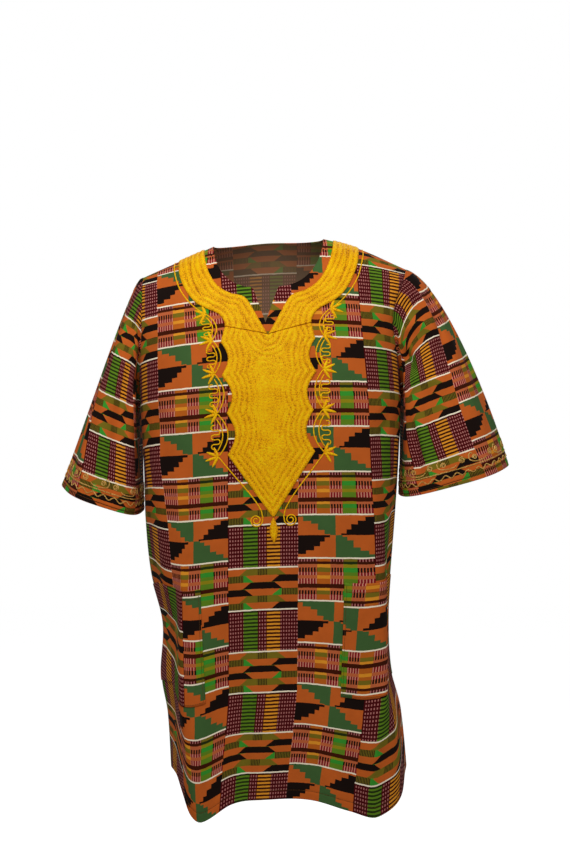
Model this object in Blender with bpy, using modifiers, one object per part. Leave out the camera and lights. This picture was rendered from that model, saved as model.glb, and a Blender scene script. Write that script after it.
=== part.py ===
"""Dashiki shirt as it hangs when worn: a loose cotton tunic with short wide sleeves, a round neck with a
notch, a raised embroidered chest panel and two patch pockets.

The cloth is cut flat as two body panels and two sleeves. A point of a body panel is given by how far across
the panel it lies (-1 at the viewer's left edge, +1 at the right one) and how far down from the neck point,
in metres of cloth. The panel rolls over the shoulder, hangs from the chest, and follows rounded sections.
X is the viewer's right, Y goes from the front to the back, and Z is up. The origin is the middle of the neck.
"""

import math
from collections import namedtuple

import bmesh
import bpy
from mathutils import Vector

for old in list(bpy.data.objects):
    bpy.data.objects.remove(old, do_unlink=True)

# Driving sizes in metres
WELD = 0.00001
CLOTH = 0.0015
SEAM = 0.0003
SEAM_SIDE = 0.00025
LENGTH = 0.946
UNDERARM = 0.300
NECK_HALF = 0.0907
NECK_FRONT = 0.130
NECK_BACK = 0.024
NECK_ROUND = 2.7
NOTCH_HALF = 0.020
NOTCH_DEPTH = 0.059
NOTCH_X = -0.0035
SHOULDER_RISE = 0.0045
SHOULDER_SLOPE = 0.405
SHOULDER_TILT = 0.045
RIDGE_ROUND = 0.030
BOW_HEIGHT = 0.009
BOW_X = 0.150
BOW_WIDTH = 0.070
BOW_END = 0.200

# Body sections, one row for each level: metres of cloth down from the neck, half widths to the left and
# right, depths to the front and back, how far round the panel reaches in degrees, and how square it is
Section = namedtuple("Section", "down left right front back reach square")
SECTIONS = (
    Section(-0.05, 0.230, 0.258, 0.128, 0.118, 62, 2.4),
    Section(0.00, 0.229, 0.255, 0.130, 0.120, 62, 2.4),
    Section(0.09, 0.225, 0.244, 0.130, 0.122, 62, 2.4),
    Section(0.17, 0.219, 0.216, 0.130, 0.126, 64, 2.5),
    Section(0.24, 0.215, 0.217, 0.131, 0.131, 74, 2.5),
    Section(0.30, 0.212, 0.219, 0.132, 0.134, 90, 2.6),
    Section(0.40, 0.206, 0.2155, 0.131, 0.134, 90, 2.7),
    Section(0.49, 0.203, 0.2100, 0.129, 0.132, 90, 2.8),
    Section(0.58, 0.194, 0.204, 0.126, 0.130, 90, 2.9),
    Section(0.67, 0.174, 0.199, 0.124, 0.128, 90, 3.0),
    Section(0.765, 0.177, 0.203, 0.124, 0.128, 90, 3.0),
    Section(0.84, 0.167, 0.219, 0.126, 0.130, 90, 3.0),
    Section(1.00, 0.158, 0.232, 0.128, 0.133, 90, 3.0),
)

# How the cloth rolls off the shoulder: how far out it runs and how far down, mid panel and at its edge
Roll = namedtuple("Roll", "run height")
FRONT_ROLL = Roll(0.130, 0.280)
BACK_ROLL = Roll(0.120, 0.200)
EDGE_ROLL = Roll(0.075, 0.110)

# The hem's rise (or fall) at places across a panel, from drape alone, and the power of the length with
# which it grows down the panel
HEM_GROWTH = 4
Hem = namedtuple("Hem", "across rise")
FRONT_HEM = (
    Hem(-1.0, 0.056),
    Hem(-0.64, 0.048),
    Hem(-0.53, 0.020),
    Hem(-0.45, -0.010),
    Hem(-0.38, -0.021),
    Hem(-0.22, 0.002),
    Hem(0.0, 0.009),
    Hem(0.2, 0.002),
    Hem(0.34, -0.015),
    Hem(0.45, -0.030),
    Hem(0.52, -0.023),
    Hem(0.64, 0.002),
    Hem(0.77, 0.029),
    Hem(1.0, 0.045),
)
BACK_HEM = (
    Hem(-1.0, 0.056),
    Hem(-0.66, 0.024),
    Hem(-0.42, -0.004),
    Hem(-0.12, 0.004),
    Hem(0.14, 0.0),
    Hem(0.42, -0.006),
    Hem(0.68, 0.020),
    Hem(1.0, 0.045),
)

# Largest folds of the panels: place across at the start, lean (across for each metre down), width across,
# height outward, and where down the cloth they start, are full, and end
Fold = namedtuple("Fold", "across lean width height start full end")
FRONT_FOLDS = (
    Fold(-0.70, 0.0, 0.10, -0.008, 0.36, 0.62, 1.10),
    Fold(-0.43, 0.0, 0.10, 0.012, 0.46, 0.82, 1.20),
    Fold(-0.22, 0.1, 0.09, -0.005, 0.50, 0.85, 1.20),
    Fold(-0.02, 0.0, 0.10, 0.005, 0.56, 0.92, 1.20),
    Fold(0.16, 0.0, 0.09, -0.005, 0.52, 0.90, 1.20),
    Fold(0.32, 0.0, 0.08, 0.003, 0.50, 0.90, 1.20),
    Fold(0.54, 0.1, 0.10, 0.013, 0.38, 0.78, 1.20),
    Fold(0.77, 0.0, 0.09, -0.010, 0.34, 0.60, 1.10),
    Fold(0.62, 1.1, 0.08, -0.006, 0.05, 0.15, 0.27),
    Fold(-0.66, -0.9, 0.08, -0.005, 0.06, 0.16, 0.28),
)
BACK_FOLDS = (
    Fold(-0.76, 0.0, 0.11, -0.009, 0.34, 0.60, 1.20),
    Fold(-0.52, 0.1, 0.10, 0.010, 0.30, 0.70, 1.20),
    Fold(-0.26, -0.1, 0.10, -0.009, 0.26, 0.60, 1.20),
    Fold(0.02, 0.0, 0.12, 0.009, 0.22, 0.66, 1.20),
    Fold(0.30, 0.1, 0.10, -0.009, 0.30, 0.64, 1.20),
    Fold(0.56, 0.0, 0.10, 0.010, 0.34, 0.74, 1.20),
    Fold(0.80, 0.0, 0.09, -0.008, 0.34, 0.60, 1.20),
)

# Grid of the body panels: columns each side by where they meet the neck or the shoulder seam, and levels
FRONT_TOPS = (0.020, 0.042, 0.061, 0.076, 0.086, NECK_HALF, 0.106, 0.124, 0.143, 0.162, 0.181, 0.200)
BACK_TOPS = (0.030, 0.056, 0.076, NECK_HALF, 0.116, 0.143, 0.170, 0.198)
ARMHOLE_ROWS = 12
TIP_STEPS = 6
ROW_CROWDING = 1.6
POCKET_TOP = 0.600
POCKET_BOTTOM = 0.775
POCKET_ROWS = 5
LEVELS = (
    [0.335, 0.37, 0.405, 0.44, 0.475, 0.51, 0.54, 0.57]
    + [POCKET_TOP + (POCKET_BOTTOM - POCKET_TOP) * row / POCKET_ROWS for row in range(POCKET_ROWS + 1)]
    + [0.81, 0.84, 0.87, 0.90, 0.925, LENGTH]
)

# Sleeves, for a cuff ring: side, centre, half width across the arm, half depth, lean of its plane in degrees
# and how much lower its front hangs; then how far the wall runs on before it turns, at the armhole and the
# cuff, on the arm's outer and inner side, and how far it flares out there. A sleeve starts a seam's width off
# the panel's edge, with a short strip that runs on as the panel does
Sleeve = namedtuple(
    "Sleeve", "side centre_x centre_z half depth lean front_drop leave leave_in arrive arrive_in flare"
)
SLEEVES = {
    "sleeve_right": Sleeve(1, 0.3076, -0.3880, 0.0940, 0.088, 16.0, 0.006, 0.205, 0.020, 0.300, 0.080, 0.28),
    "sleeve_left": Sleeve(-1, -0.2755, -0.4175, 0.0704, 0.098, 20.0, 0.008, 0.070, 0.020, 0.170, 0.080, 0.42),
}
SLEEVE_ROWS = 12
SLEEVE_SEAM = 0.0005
SLEEVE_STRIP = 0.004
INSIDE_EDGE = 0.97
CUFF_SQUARE = 2.5
SLEEVE_SLOPE = 0.45
SLEEVE_TURN = 0.6
UNDERARM_TURN = (0.45, 0.85)

# Largest folds of a sleeve: place round it from the top (0) down its front to the underarm (0.5) and up its
# back (1), with the same columns as the panels' folds, and down as a share of the sleeve's length
SLEEVE_FOLDS = (
    Fold(0.07, 0.04, 0.045, -0.006, 0.15, 0.60, 1.60),
    Fold(0.17, 0.04, 0.050, 0.006, 0.10, 0.60, 1.60),
    Fold(0.28, 0.02, 0.045, -0.007, 0.05, 0.50, 1.60),
    Fold(0.38, 0.00, 0.045, 0.006, 0.05, 0.50, 1.60),
    Fold(0.62, 0.00, 0.045, 0.005, 0.05, 0.50, 1.60),
    Fold(0.72, -0.02, 0.045, -0.007, 0.05, 0.50, 1.60),
    Fold(0.83, -0.04, 0.050, 0.006, 0.10, 0.60, 1.60),
    Fold(0.93, -0.04, 0.045, -0.005, 0.15, 0.60, 1.60),
)

# Patch pockets run from this column, counted from the panel's middle, to the side seam
POCKET_COLUMN = 5

# Embroidery: thickness, how far it stands off the cloth, and the lean of its axis below the seam across it
THREAD = 0.0012
THREAD_LIFT = 0.0009
AXIS_X = 0.0005
AXIS_LEAN = 0.030
AXIS_START = 0.210
BAND_COLUMNS = 5

# Each side of the yoke as a band from the shoulder seam to the seam across the chest
Band = namedtuple("Band", "step inner_x inner_down outer_x outer_down")
YOKE = (
    Band(0, 0.1065, 0.0040, 0.1480, 0.0205),
    Band(1, 0.1045, 0.0450, 0.1475, 0.0550),
    Band(2, 0.0990, 0.0780, 0.1435, 0.0880),
    Band(3, 0.0905, 0.1020, 0.1330, 0.1180),
    Band(4, 0.0780, 0.1215, 0.1170, 0.1430),
    Band(5, 0.0600, 0.1350, 0.0990, 0.1565),
    Band(6, 0.0400, 0.1425, 0.0830, 0.1660),
    Band(7, 0.0305, 0.1530, 0.0735, 0.1745),
    Band(8, 0.0215, 0.1700, 0.0695, 0.1825),
    Band(9, 0.0110, 0.1895, 0.0685, 0.1870),
    Band(10, 0.0005, 0.2085, 0.0680, 0.1910),
)

# Outline of the placket: its cusps, with hollow scallops between the first ones and a straight run to the tip
Cusp = namedtuple("Cusp", "down half hollow rows")
PLACKET = (
    Cusp(0.1910, 0.0680, 0.0000, 2),
    Cusp(0.2165, 0.0742, 0.0105, 6),
    Cusp(0.2700, 0.0742, 0.0120, 6),
    Cusp(0.3300, 0.0680, 0.0125, 6),
    Cusp(0.3950, 0.0685, 0.0000, 8),
    Cusp(0.4960, 0.0015, 0.0000, 0),
)
PLACKET_SAG = 0.0175
DROP_TOP = 0.4975
DROP_BOTTOM = 0.5370
DROP_HALF = 0.0064
DROP_END = 0.12
DROP_ROWS = 8
DROP_COLUMNS = 4

ORANGE_CLOTH = (0.55, 0.12, 0.03, 1.0)
YELLOW_THREAD = (0.90, 0.42, 0.01, 1.0)
ROUGH_CLOTH = 0.85
ROUGH_THREAD = 0.45


# Reading a table smoothly between its rows
def read(table, key, place, name):
    keys = [getattr(row, key) for row in table]
    values = [getattr(row, name) for row in table]
    if place <= keys[0]:
        return values[0]
    if place >= keys[-1]:
        return values[-1]
    last = len(keys) - 1
    low = max(i for i in range(last) if keys[i] <= place)
    high = low + 1
    before = max(low - 1, 0)
    after = min(high + 1, last)
    span = keys[high] - keys[low]
    share = (place - keys[low]) / span
    start_slope = (values[high] - values[before]) / (keys[high] - keys[before]) * span
    end_slope = (values[after] - values[low]) / (keys[after] - keys[low]) * span
    square = share * share
    cube = square * share
    start = (2 * cube - 3 * square + 1) * values[low] + (cube - 2 * square + share) * start_slope
    end = (3 * square - 2 * cube) * values[high] + (cube - square) * end_slope
    return start + end


def ease(value, start, end):
    share = min(max((value - start) / (end - start), 0.0), 1.0)
    return share * share * (3 - 2 * share)


# Height of the folds of one table at a place
def fold_height(folds, across, down):
    height = 0.0
    for fold in folds:
        middle = fold.across + fold.lean * (down - fold.start)
        bump = math.exp(-(((across - middle) / fold.width) ** 2))
        fade = ease(down, fold.start, fold.full) * (1 - ease(down, fold.full, fold.end))
        height += fold.height * bump * fade
    return height


# Shoulder line without and with its tilt
def seam_down(x):
    rounded = math.hypot(x, RIDGE_ROUND)
    return SHOULDER_SLOPE * (rounded - NECK_HALF) - SHOULDER_RISE


def fall(length, roll_run, roll_height):
    """How far out (as a share) and down a length of cloth reaches as it rolls off the shoulder and hangs."""
    step = math.radians(4)
    angle = 0.0
    left = length
    while left > 0 and angle < math.pi / 2 - step / 10:
        middle = angle + step / 2
        arc = math.hypot(roll_run * math.cos(middle), roll_height * math.sin(middle)) * step
        share = min(1.0, left / arc)
        angle += step * share
        left -= arc * share
    return math.sin(angle), roll_height * (1 - math.cos(angle)) + left


def section_shares(angle, square):
    """Across and outward shares of a rounded section at an angle from the panel's middle."""
    over = math.sin(abs(angle))
    out = max(math.cos(angle), 0.0)
    spread = (out**square + over**square) ** (-1 / square)
    return math.copysign(spread * over, angle), spread * out


Panel = namedtuple("Panel", "name outward depth roll hem folds")
FRONT = Panel("front", -1, "front", FRONT_ROLL, FRONT_HEM, FRONT_FOLDS)
BACK = Panel("back", 1, "back", BACK_ROLL, BACK_HEM, BACK_FOLDS)


def body_point(panel, across, down):
    """Point of a body panel's outer face."""
    square = read(SECTIONS, "down", down, "square")
    reach = math.radians(read(SECTIONS, "down", down, "reach"))
    depth = read(SECTIONS, "down", down, panel.depth)
    half = read(SECTIONS, "down", down, "right" if across > 0 else "left")
    share_x, share_y = section_shares(across * reach, square)
    x = half * share_x
    edge = across * across
    run = panel.roll.run * (1 - edge) + EDGE_ROLL.run * edge
    height = panel.roll.height * (1 - edge) + EDGE_ROLL.height * edge
    out_share, drop = fall(max(down - seam_down(x), 0.0), run, height)
    swell = fold_height(panel.folds, across, down) * out_share * (1 - edge * edge)
    tip = math.hypot(share_x / half, share_y / depth)
    x += swell * share_x / half / tip
    y = depth * share_y * out_share + swell * share_y / depth / tip + SEAM_SIDE
    z = SHOULDER_TILT * x - seam_down(x) - drop
    z += BOW_HEIGHT * math.exp(-(((x - BOW_X) / BOW_WIDTH) ** 2)) * (1 - ease(down, 0.0, BOW_END))
    z += read(panel.hem, "across", across, "rise") * (down / LENGTH) ** HEM_GROWTH
    return Vector((x, panel.outward * y, z))


def body_normal(panel, across, down):
    """Unit normal of a body panel, out of the shirt."""
    step = 0.002
    over = body_point(panel, across + step, down) - body_point(panel, across - step, down)
    under = body_point(panel, across, down + step) - body_point(panel, across, down - step)
    return over.cross(under).normalized() * panel.outward


ALMOST_EDGE = 0.9999


def across_at(x, down):
    """Place across a panel whose point at this level lies at x."""
    square = read(SECTIONS, "down", down, "square")
    reach = math.radians(read(SECTIONS, "down", down, "reach"))
    half = read(SECTIONS, "down", down, "right" if x > 0 else "left")
    share = min(abs(x) / half, ALMOST_EDGE)
    if share == 0:
        return 0.0
    turn = math.atan2(1, (share**-square - 1) ** (1 / square))
    return math.copysign(turn / reach, x)


def neck_down(panel, x):
    """Level of the panel's top edge at x: the neckline inside the neck, the shoulder seam outside it."""
    side = seam_down(x)
    if abs(x) >= NECK_HALF:
        return side
    start = seam_down(NECK_HALF)
    bowl = (1 - (abs(x) / NECK_HALF) ** NECK_ROUND) ** (1 / NECK_ROUND)
    if panel is BACK:
        return start + (NECK_BACK - start) * bowl
    notch = max(0.0, 1 - abs(x - NOTCH_X) / NOTCH_HALF) * NOTCH_DEPTH
    return start + (NECK_FRONT - start) * bowl + notch


def panel_columns(panel):
    """Each grid column as its x on the top edge (none at the armholes) and its place across lower down."""
    tops = FRONT_TOPS if panel is FRONT else BACK_TOPS
    count = len(tops) + 1
    columns = [(-1.0, None)]
    for number in range(1 - count, count):
        top = math.copysign(tops[abs(number) - 1], number) if number else 0.0
        if panel is FRONT and abs(top) < NECK_HALF:
            top += NOTCH_X * (1 - abs(top) / NECK_HALF)
        columns.append((number / count, top))
    columns.append((1.0, None))
    return columns


def armhole_share(row):
    """How far down the armhole a row lies; the rows are closer together at the shoulder seam."""
    return (row / ARMHOLE_ROWS) ** ROW_CROWDING


def panel_cell(panel, column, row):
    """Place across and down of a grid corner of a body panel."""
    across, top_x = column
    if row >= ARMHOLE_ROWS:
        return across, ([UNDERARM] + LEVELS)[row - ARMHOLE_ROWS]
    share = armhole_share(row)
    if top_x is None:
        tip = body_tip(across)
        return across, tip + (UNDERARM - tip) * share
    start_down = neck_down(panel, top_x)
    down = start_down + (UNDERARM - start_down) * share
    start_across = across_at(top_x, start_down)
    return start_across + (across - start_across) * share, down


def body_tip(across):
    """Level of the shoulder seam at the armhole edge, which is closed in on step by step."""
    down = 0.0
    for _ in range(TIP_STEPS):
        square = read(SECTIONS, "down", down, "square")
        reach = math.radians(read(SECTIONS, "down", down, "reach"))
        half = read(SECTIONS, "down", down, "right" if across > 0 else "left")
        down = seam_down(half * section_shares(across * reach, square)[0])
    return down


# Making meshes and objects
def material(name, colour, roughness):
    made = bpy.data.materials.new(name)
    made.use_nodes = True
    shader = made.node_tree.nodes["Principled BSDF"]
    shader.inputs["Base Color"].default_value = colour
    shader.inputs["Roughness"].default_value = roughness
    shader.inputs["Metallic"].default_value = 0.0
    return made


def sheet(name, columns, rows, place, colour, thickness, outward, closed=False):
    """One wall: a grid of columns and rows put in place, closed into a tube if asked, then thickened."""
    mesh = bpy.data.meshes.new(name)
    grid = bmesh.new()
    bmesh.ops.create_grid(grid, x_segments=columns, y_segments=rows, size=1)
    for corner in grid.verts:
        column = round((corner.co.x + 1) / 2 * columns)
        row = round((1 - corner.co.y) / 2 * rows)
        corner.co = place(column, row)
    if closed:
        bmesh.ops.remove_doubles(grid, verts=grid.verts, dist=WELD)
    grid.to_mesh(mesh)
    grid.free()
    mesh.shade_smooth()
    made = bpy.data.objects.new(name, mesh)
    shirt.objects.link(made)
    made.data.materials.append(material(name, *colour))
    wall = made.modifiers.new("wall", "SOLIDIFY")
    wall.thickness = thickness
    wall.offset = 1.0 if outward else -1.0
    wall.use_even_offset = True
    return made


shirt = bpy.data.collections.new("dashiki_shirt")
bpy.context.scene.collection.children.link(shirt)


CLOTH_LOOK = (ORANGE_CLOTH, ROUGH_CLOTH)
THREAD_LOOK = (YELLOW_THREAD, ROUGH_THREAD)


# Front and back: one piece of cloth each, joined at the shoulders and sides
def make_panel(panel):
    columns = panel_columns(panel)
    count = len(columns) - 1

    def place(column, row):
        index = column if panel is FRONT else count - column
        return body_point(panel, *panel_cell(panel, columns[index], row))

    return sheet(panel.name, count, ARMHOLE_ROWS + len(LEVELS), place, CLOTH_LOOK, CLOTH, False)


make_panel(FRONT)
make_panel(BACK)


# Sleeves: a tube from the armhole to the cuff
def armhole_edge(side, turn):
    """Point of the armhole at a turn from its top (0) down the front to the underarm (0.5) and up the back
    (1), and the way the body panel's cloth runs on there."""
    share = armhole_share((1 - abs(1 - 2 * turn)) * ARMHOLE_ROWS)
    panel = FRONT if turn < 0.5 else BACK
    tip = body_tip(side)
    down = tip + (UNDERARM - tip) * share
    point = body_point(panel, side, down)
    away = (point - body_point(panel, side * INSIDE_EDGE, down)).normalized()
    if share in (0.0, 1.0):
        point.y = 0.0
        away.y = 0.0
    turned = ease(share, *UNDERARM_TURN)
    return point, (away * (1 - turned) + Vector((side * turned, 0, 0))).normalized()


def sleeve_point(sleeve, turn, share):
    """Point of a sleeve's outer face, at a turn round it and a share of the way to the cuff; a share of
    None is the seam, a short strip before the rest."""
    start, away = armhole_edge(sleeve.side, turn)
    if share is None:
        return start + away * SLEEVE_SEAM
    angle = 2 * math.pi * turn
    lean = math.radians(sleeve.lean)
    flat = Vector((math.cos(angle), math.sin(angle)))
    flat /= (abs(flat.x) ** CUFF_SQUARE + abs(flat.y) ** CUFF_SQUARE) ** (1 / CUFF_SQUARE)
    round_way = Vector((sleeve.side * flat.x * math.cos(lean), -flat.y, flat.x * math.sin(lean)))
    end = Vector((
        sleeve.centre_x + sleeve.half * round_way.x,
        sleeve.depth * round_way.y,
        sleeve.centre_z + sleeve.half * round_way.z - sleeve.front_drop * max(0.0, flat.y),
    ))
    outer = (1 + math.cos(angle)) / 2
    leave = sleeve.leave_in + (sleeve.leave - sleeve.leave_in) * outer
    arrive = sleeve.arrive_in + (sleeve.arrive - sleeve.arrive_in) * outer
    down_arm = Vector((sleeve.side, 0, -SLEEVE_SLOPE)).normalized()
    first_way = (away + down_arm * SLEEVE_TURN).normalized() * leave
    last_way = Vector((sleeve.side * sleeve.flare * outer, 0, -1)).normalized() * arrive
    square = share * share
    cube = square * share
    point = (start + away * SLEEVE_STRIP) * (2 * cube - 3 * square + 1)
    point += first_way * (cube - 2 * square + share)
    point += end * (3 * square - 2 * cube) + last_way * (cube - square)
    return point + round_way.normalized() * fold_height(SLEEVE_FOLDS, turn, share)


def make_sleeve(name, sleeve):
    corners = 2 * ARMHOLE_ROWS

    def place(column, row):
        turn = (column if sleeve.side > 0 else corners - column) % corners / corners
        share = 1 - row / SLEEVE_ROWS if row <= SLEEVE_ROWS else None
        return sleeve_point(sleeve, turn, share)

    return sheet(name, corners, SLEEVE_ROWS + 1, place, CLOTH_LOOK, CLOTH, False, closed=True)


for sleeve_name, sleeve_sizes in SLEEVES.items():
    make_sleeve(sleeve_name, sleeve_sizes)


# Pockets: patches of cloth that repeat the front's own points, moved out
def make_pocket(name, side):
    columns = panel_columns(FRONT)
    middle = len(columns) // 2
    count = middle - POCKET_COLUMN
    rows = [level for level in LEVELS if POCKET_TOP <= level <= POCKET_BOTTOM]

    def place(column, row):
        number = POCKET_COLUMN + column if side > 0 else column - middle
        across = columns[middle + number][0]
        return body_point(FRONT, across, rows[row]) + body_normal(FRONT, across, rows[row]) * SEAM

    return sheet(name, count, len(rows) - 1, place, CLOTH_LOOK, CLOTH, True)


make_pocket("pocket_left", -1)
make_pocket("pocket_right", 1)


# Embroidery: dense raised stitching that lies on the front
def on_front(x, down):
    """Point of the front at x from the embroidery's own axis, moved out to carry the stitching."""
    x += AXIS_X + AXIS_LEAN * max(0.0, down - AXIS_START)
    across = across_at(x, down)
    return body_point(FRONT, across, down) + body_normal(FRONT, across, down) * THREAD_LIFT


def make_yoke(name, side):
    rows = 2 * (len(YOKE) - 1)

    def place(column, row):
        share = (column if side > 0 else BAND_COLUMNS - column) / BAND_COLUMNS
        step = row / 2
        inner_x = read(YOKE, "step", step, "inner_x")
        inner_down = read(YOKE, "step", step, "inner_down")
        x = inner_x + (read(YOKE, "step", step, "outer_x") - inner_x) * share
        down = inner_down + (read(YOKE, "step", step, "outer_down") - inner_down) * share
        return on_front(side * x, down)

    return sheet(name, BAND_COLUMNS, rows, place, THREAD_LOOK, THREAD, True)


def placket_rows():
    """Level and half width of each row of the placket, from the seam across the chest to the tip."""
    rows = []
    for cusp, after in zip(PLACKET, PLACKET[1:]):
        for number in range(cusp.rows):
            share = number / cusp.rows
            half = cusp.half + (after.half - cusp.half) * share - cusp.hollow * math.sin(math.pi * share)
            rows.append((cusp.down + (after.down - cusp.down) * share, half))
    rows.append((PLACKET[-1].down, PLACKET[-1].half))
    return rows


def make_placket(name):
    rows = placket_rows()
    columns = 2 * BAND_COLUMNS

    def place(column, row):
        share = column / BAND_COLUMNS - 1
        down, half = rows[row]
        fade = 1 - min(row / PLACKET[0].rows, 1)
        return on_front(half * share, down + PLACKET_SAG * (1 - abs(share)) * fade + SEAM * fade)

    return sheet(name, columns, len(rows) - 1, place, THREAD_LOOK, THREAD, True)


def make_drop(name):
    def place(column, row):
        share = row / DROP_ROWS
        half = DROP_HALF * (DROP_END + (1 - DROP_END) * math.sin(math.pi * share))
        return on_front(half * (2 * column / DROP_COLUMNS - 1), DROP_TOP + (DROP_BOTTOM - DROP_TOP) * share)

    return sheet(name, DROP_COLUMNS, DROP_ROWS, place, THREAD_LOOK, THREAD, True)


make_yoke("yoke_left", -1)
make_yoke("yoke_right", 1)
make_placket("placket")
make_drop("drop")
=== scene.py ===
import math

import bmesh
import bpy
import numpy as np
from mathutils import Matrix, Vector


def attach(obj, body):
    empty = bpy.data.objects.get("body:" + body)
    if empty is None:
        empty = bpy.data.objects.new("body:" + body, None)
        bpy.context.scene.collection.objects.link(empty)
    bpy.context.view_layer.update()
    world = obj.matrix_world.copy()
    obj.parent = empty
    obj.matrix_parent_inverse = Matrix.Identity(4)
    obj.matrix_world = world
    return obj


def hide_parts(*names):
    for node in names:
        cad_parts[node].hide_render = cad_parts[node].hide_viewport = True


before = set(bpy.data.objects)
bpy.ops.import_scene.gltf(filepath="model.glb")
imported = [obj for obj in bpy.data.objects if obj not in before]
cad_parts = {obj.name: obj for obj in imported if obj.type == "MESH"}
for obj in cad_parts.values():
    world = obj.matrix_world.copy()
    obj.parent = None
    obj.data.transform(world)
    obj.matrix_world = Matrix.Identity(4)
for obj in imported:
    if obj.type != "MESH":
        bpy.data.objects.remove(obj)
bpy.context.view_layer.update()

# The view of the whole shirt: a camera straight in front of the chest, in a pale room with soft lamps.
# The floor lies well below the hem, because the shirt hangs at the height where it is worn.
CAMERA_PLACE = (0.0273, -2.1, -0.3025)
CAMERA_LENS = 53.05
CAMERA_SENSOR = 36
camera_data = bpy.data.cameras.new("camera")
camera_data.sensor_fit = "VERTICAL"
camera_data.sensor_height = CAMERA_SENSOR
camera_data.lens = CAMERA_LENS
camera = bpy.data.objects.new("camera", camera_data)
camera.location = CAMERA_PLACE
camera.rotation_euler = (math.pi / 2, 0, 0)
bpy.context.scene.collection.objects.link(camera)
bpy.context.scene.camera = camera
bpy.context.scene.view_settings.view_transform = "Standard"

FLOOR_LEVEL = -1.45
FLOOR_HALF = 6
FLOOR_GLOW = 0.83
ROOM_LIGHT = 0.27
GREY = (0.60, 0.60, 0.60, 1)
WHITE = (1, 1, 1, 1)
paint = bpy.data.materials.new("room_paint")
paint.use_nodes = True
matt = paint.node_tree.nodes["Principled BSDF"].inputs
matt["Base Color"].default_value = GREY
matt["Roughness"].default_value = 1.0
matt["Specular IOR Level"].default_value = 0.0
matt["Emission Color"].default_value = WHITE
glow = paint.node_tree.nodes.new("ShaderNodeMath")
glow.operation = "MULTIPLY"
glow.inputs[1].default_value = FLOOR_GLOW
looked_at = paint.node_tree.nodes.new("ShaderNodeLightPath")
paint.node_tree.links.new(looked_at.outputs["Is Camera Ray"], glow.inputs[0])
paint.node_tree.links.new(glow.outputs[0], matt["Emission Strength"])
floor_mesh = bpy.data.meshes.new("floor")
floor_work = bmesh.new()
bmesh.ops.create_grid(floor_work, x_segments=1, y_segments=1, size=FLOOR_HALF)
bmesh.ops.translate(floor_work, verts=floor_work.verts, vec=(0, 0, FLOOR_LEVEL))
floor_work.to_mesh(floor_mesh)
floor_work.free()
floor_mesh.materials.append(paint)
floor = bpy.data.objects.new("floor", floor_mesh)
bpy.context.scene.collection.objects.link(floor)

# The room lights the shirt softly and looks plain white behind it
room = bpy.data.worlds.new("room")
room.use_nodes = True
room_nodes = room.node_tree.nodes
room_links = room.node_tree.links
light = room_nodes["Background"]
light.inputs["Color"].default_value = WHITE
light.inputs["Strength"].default_value = ROOM_LIGHT
backdrop = room_nodes.new("ShaderNodeBackground")
backdrop.inputs["Color"].default_value = WHITE
seen = room_nodes.new("ShaderNodeLightPath")
either = room_nodes.new("ShaderNodeMixShader")
room_links.new(seen.outputs["Is Camera Ray"], either.inputs[0])
room_links.new(light.outputs[0], either.inputs[1])
room_links.new(backdrop.outputs[0], either.inputs[2])
room_links.new(either.outputs[0], room_nodes["World Output"].inputs["Surface"])
bpy.context.scene.world = room

# Soft square lamps: place, the point that each shines at, width and power
LAMPS = {
    "key_lamp": ((-0.35, -1.25, 0.95), (0, 0, -0.1), 0.8, 17),
    "fill_lamp": ((1.2, -1.3, 0.6), (0, 0, -0.2), 1.0, 5),
    "back_lamp": ((0.3, 1.8, 0.9), (0, 0, -0.3), 1.6, 16),
}
for name, (place, aim, width, power) in LAMPS.items():
    lamp_data = bpy.data.lights.new(name, "AREA")
    lamp_data.size = width
    lamp_data.energy = power
    lamp = bpy.data.objects.new(name, lamp_data)
    lamp.location = place
    lamp.rotation_euler = (Vector(aim) - lamp.location).to_track_quat("-Z", "Y").to_euler()
    bpy.context.scene.collection.objects.link(lamp)

# Front and back: each body panel is one piece of printed cotton, cut with wide square shoulders and joined
# at the shoulder and side seams. The cloth rolls over the shoulders and hangs from the chest in soft folds.
# The print repeats two kinds of strip side by side, as strip-woven cloth from West Africa does.
LENGTH = 0.946
UNDERARM = 0.300
NECK_HALF = 0.0907
NECK_FRONT = 0.130
NECK_BACK = 0.024
NECK_ROUND = 2.7
NOTCH_HALF = 0.020
NOTCH_DEPTH = 0.059
NOTCH_X = -0.0035
SHOULDER_RISE = 0.0045
SHOULDER_SLOPE = 0.405
SHOULDER_TILT = 0.045
RIDGE_ROUND = 0.030
BOW_HEIGHT = 0.009
BOW_X = 0.150
BOW_WIDTH = 0.070
BOW_END = 0.200
SEAM_SIDE = 0.00002
SEAM_DIP = 0.0008
SEAM_ROUND = 0.009
EDGE_RUN = 0.075
EDGE_HEIGHT = 0.110
HEM_GROWTH = 4
COTTON_WALL = 0.0009
MERGE_DISTANCE = 0.00001
BODY_HEM = 0.014
HEM_GROOVE = 0.0006
HEM_GROOVE_WIDTH = 0.0018
HEM_PUCKER = 0.00035
HEM_PUCKER_WIDTH = 0.0090
HEM_ROWS = 24
HEM_ZONE = 0.030
ROLL_STEP = math.radians(4)
ROLL_STEPS = 23
NORMAL_STEP = 0.002

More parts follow.
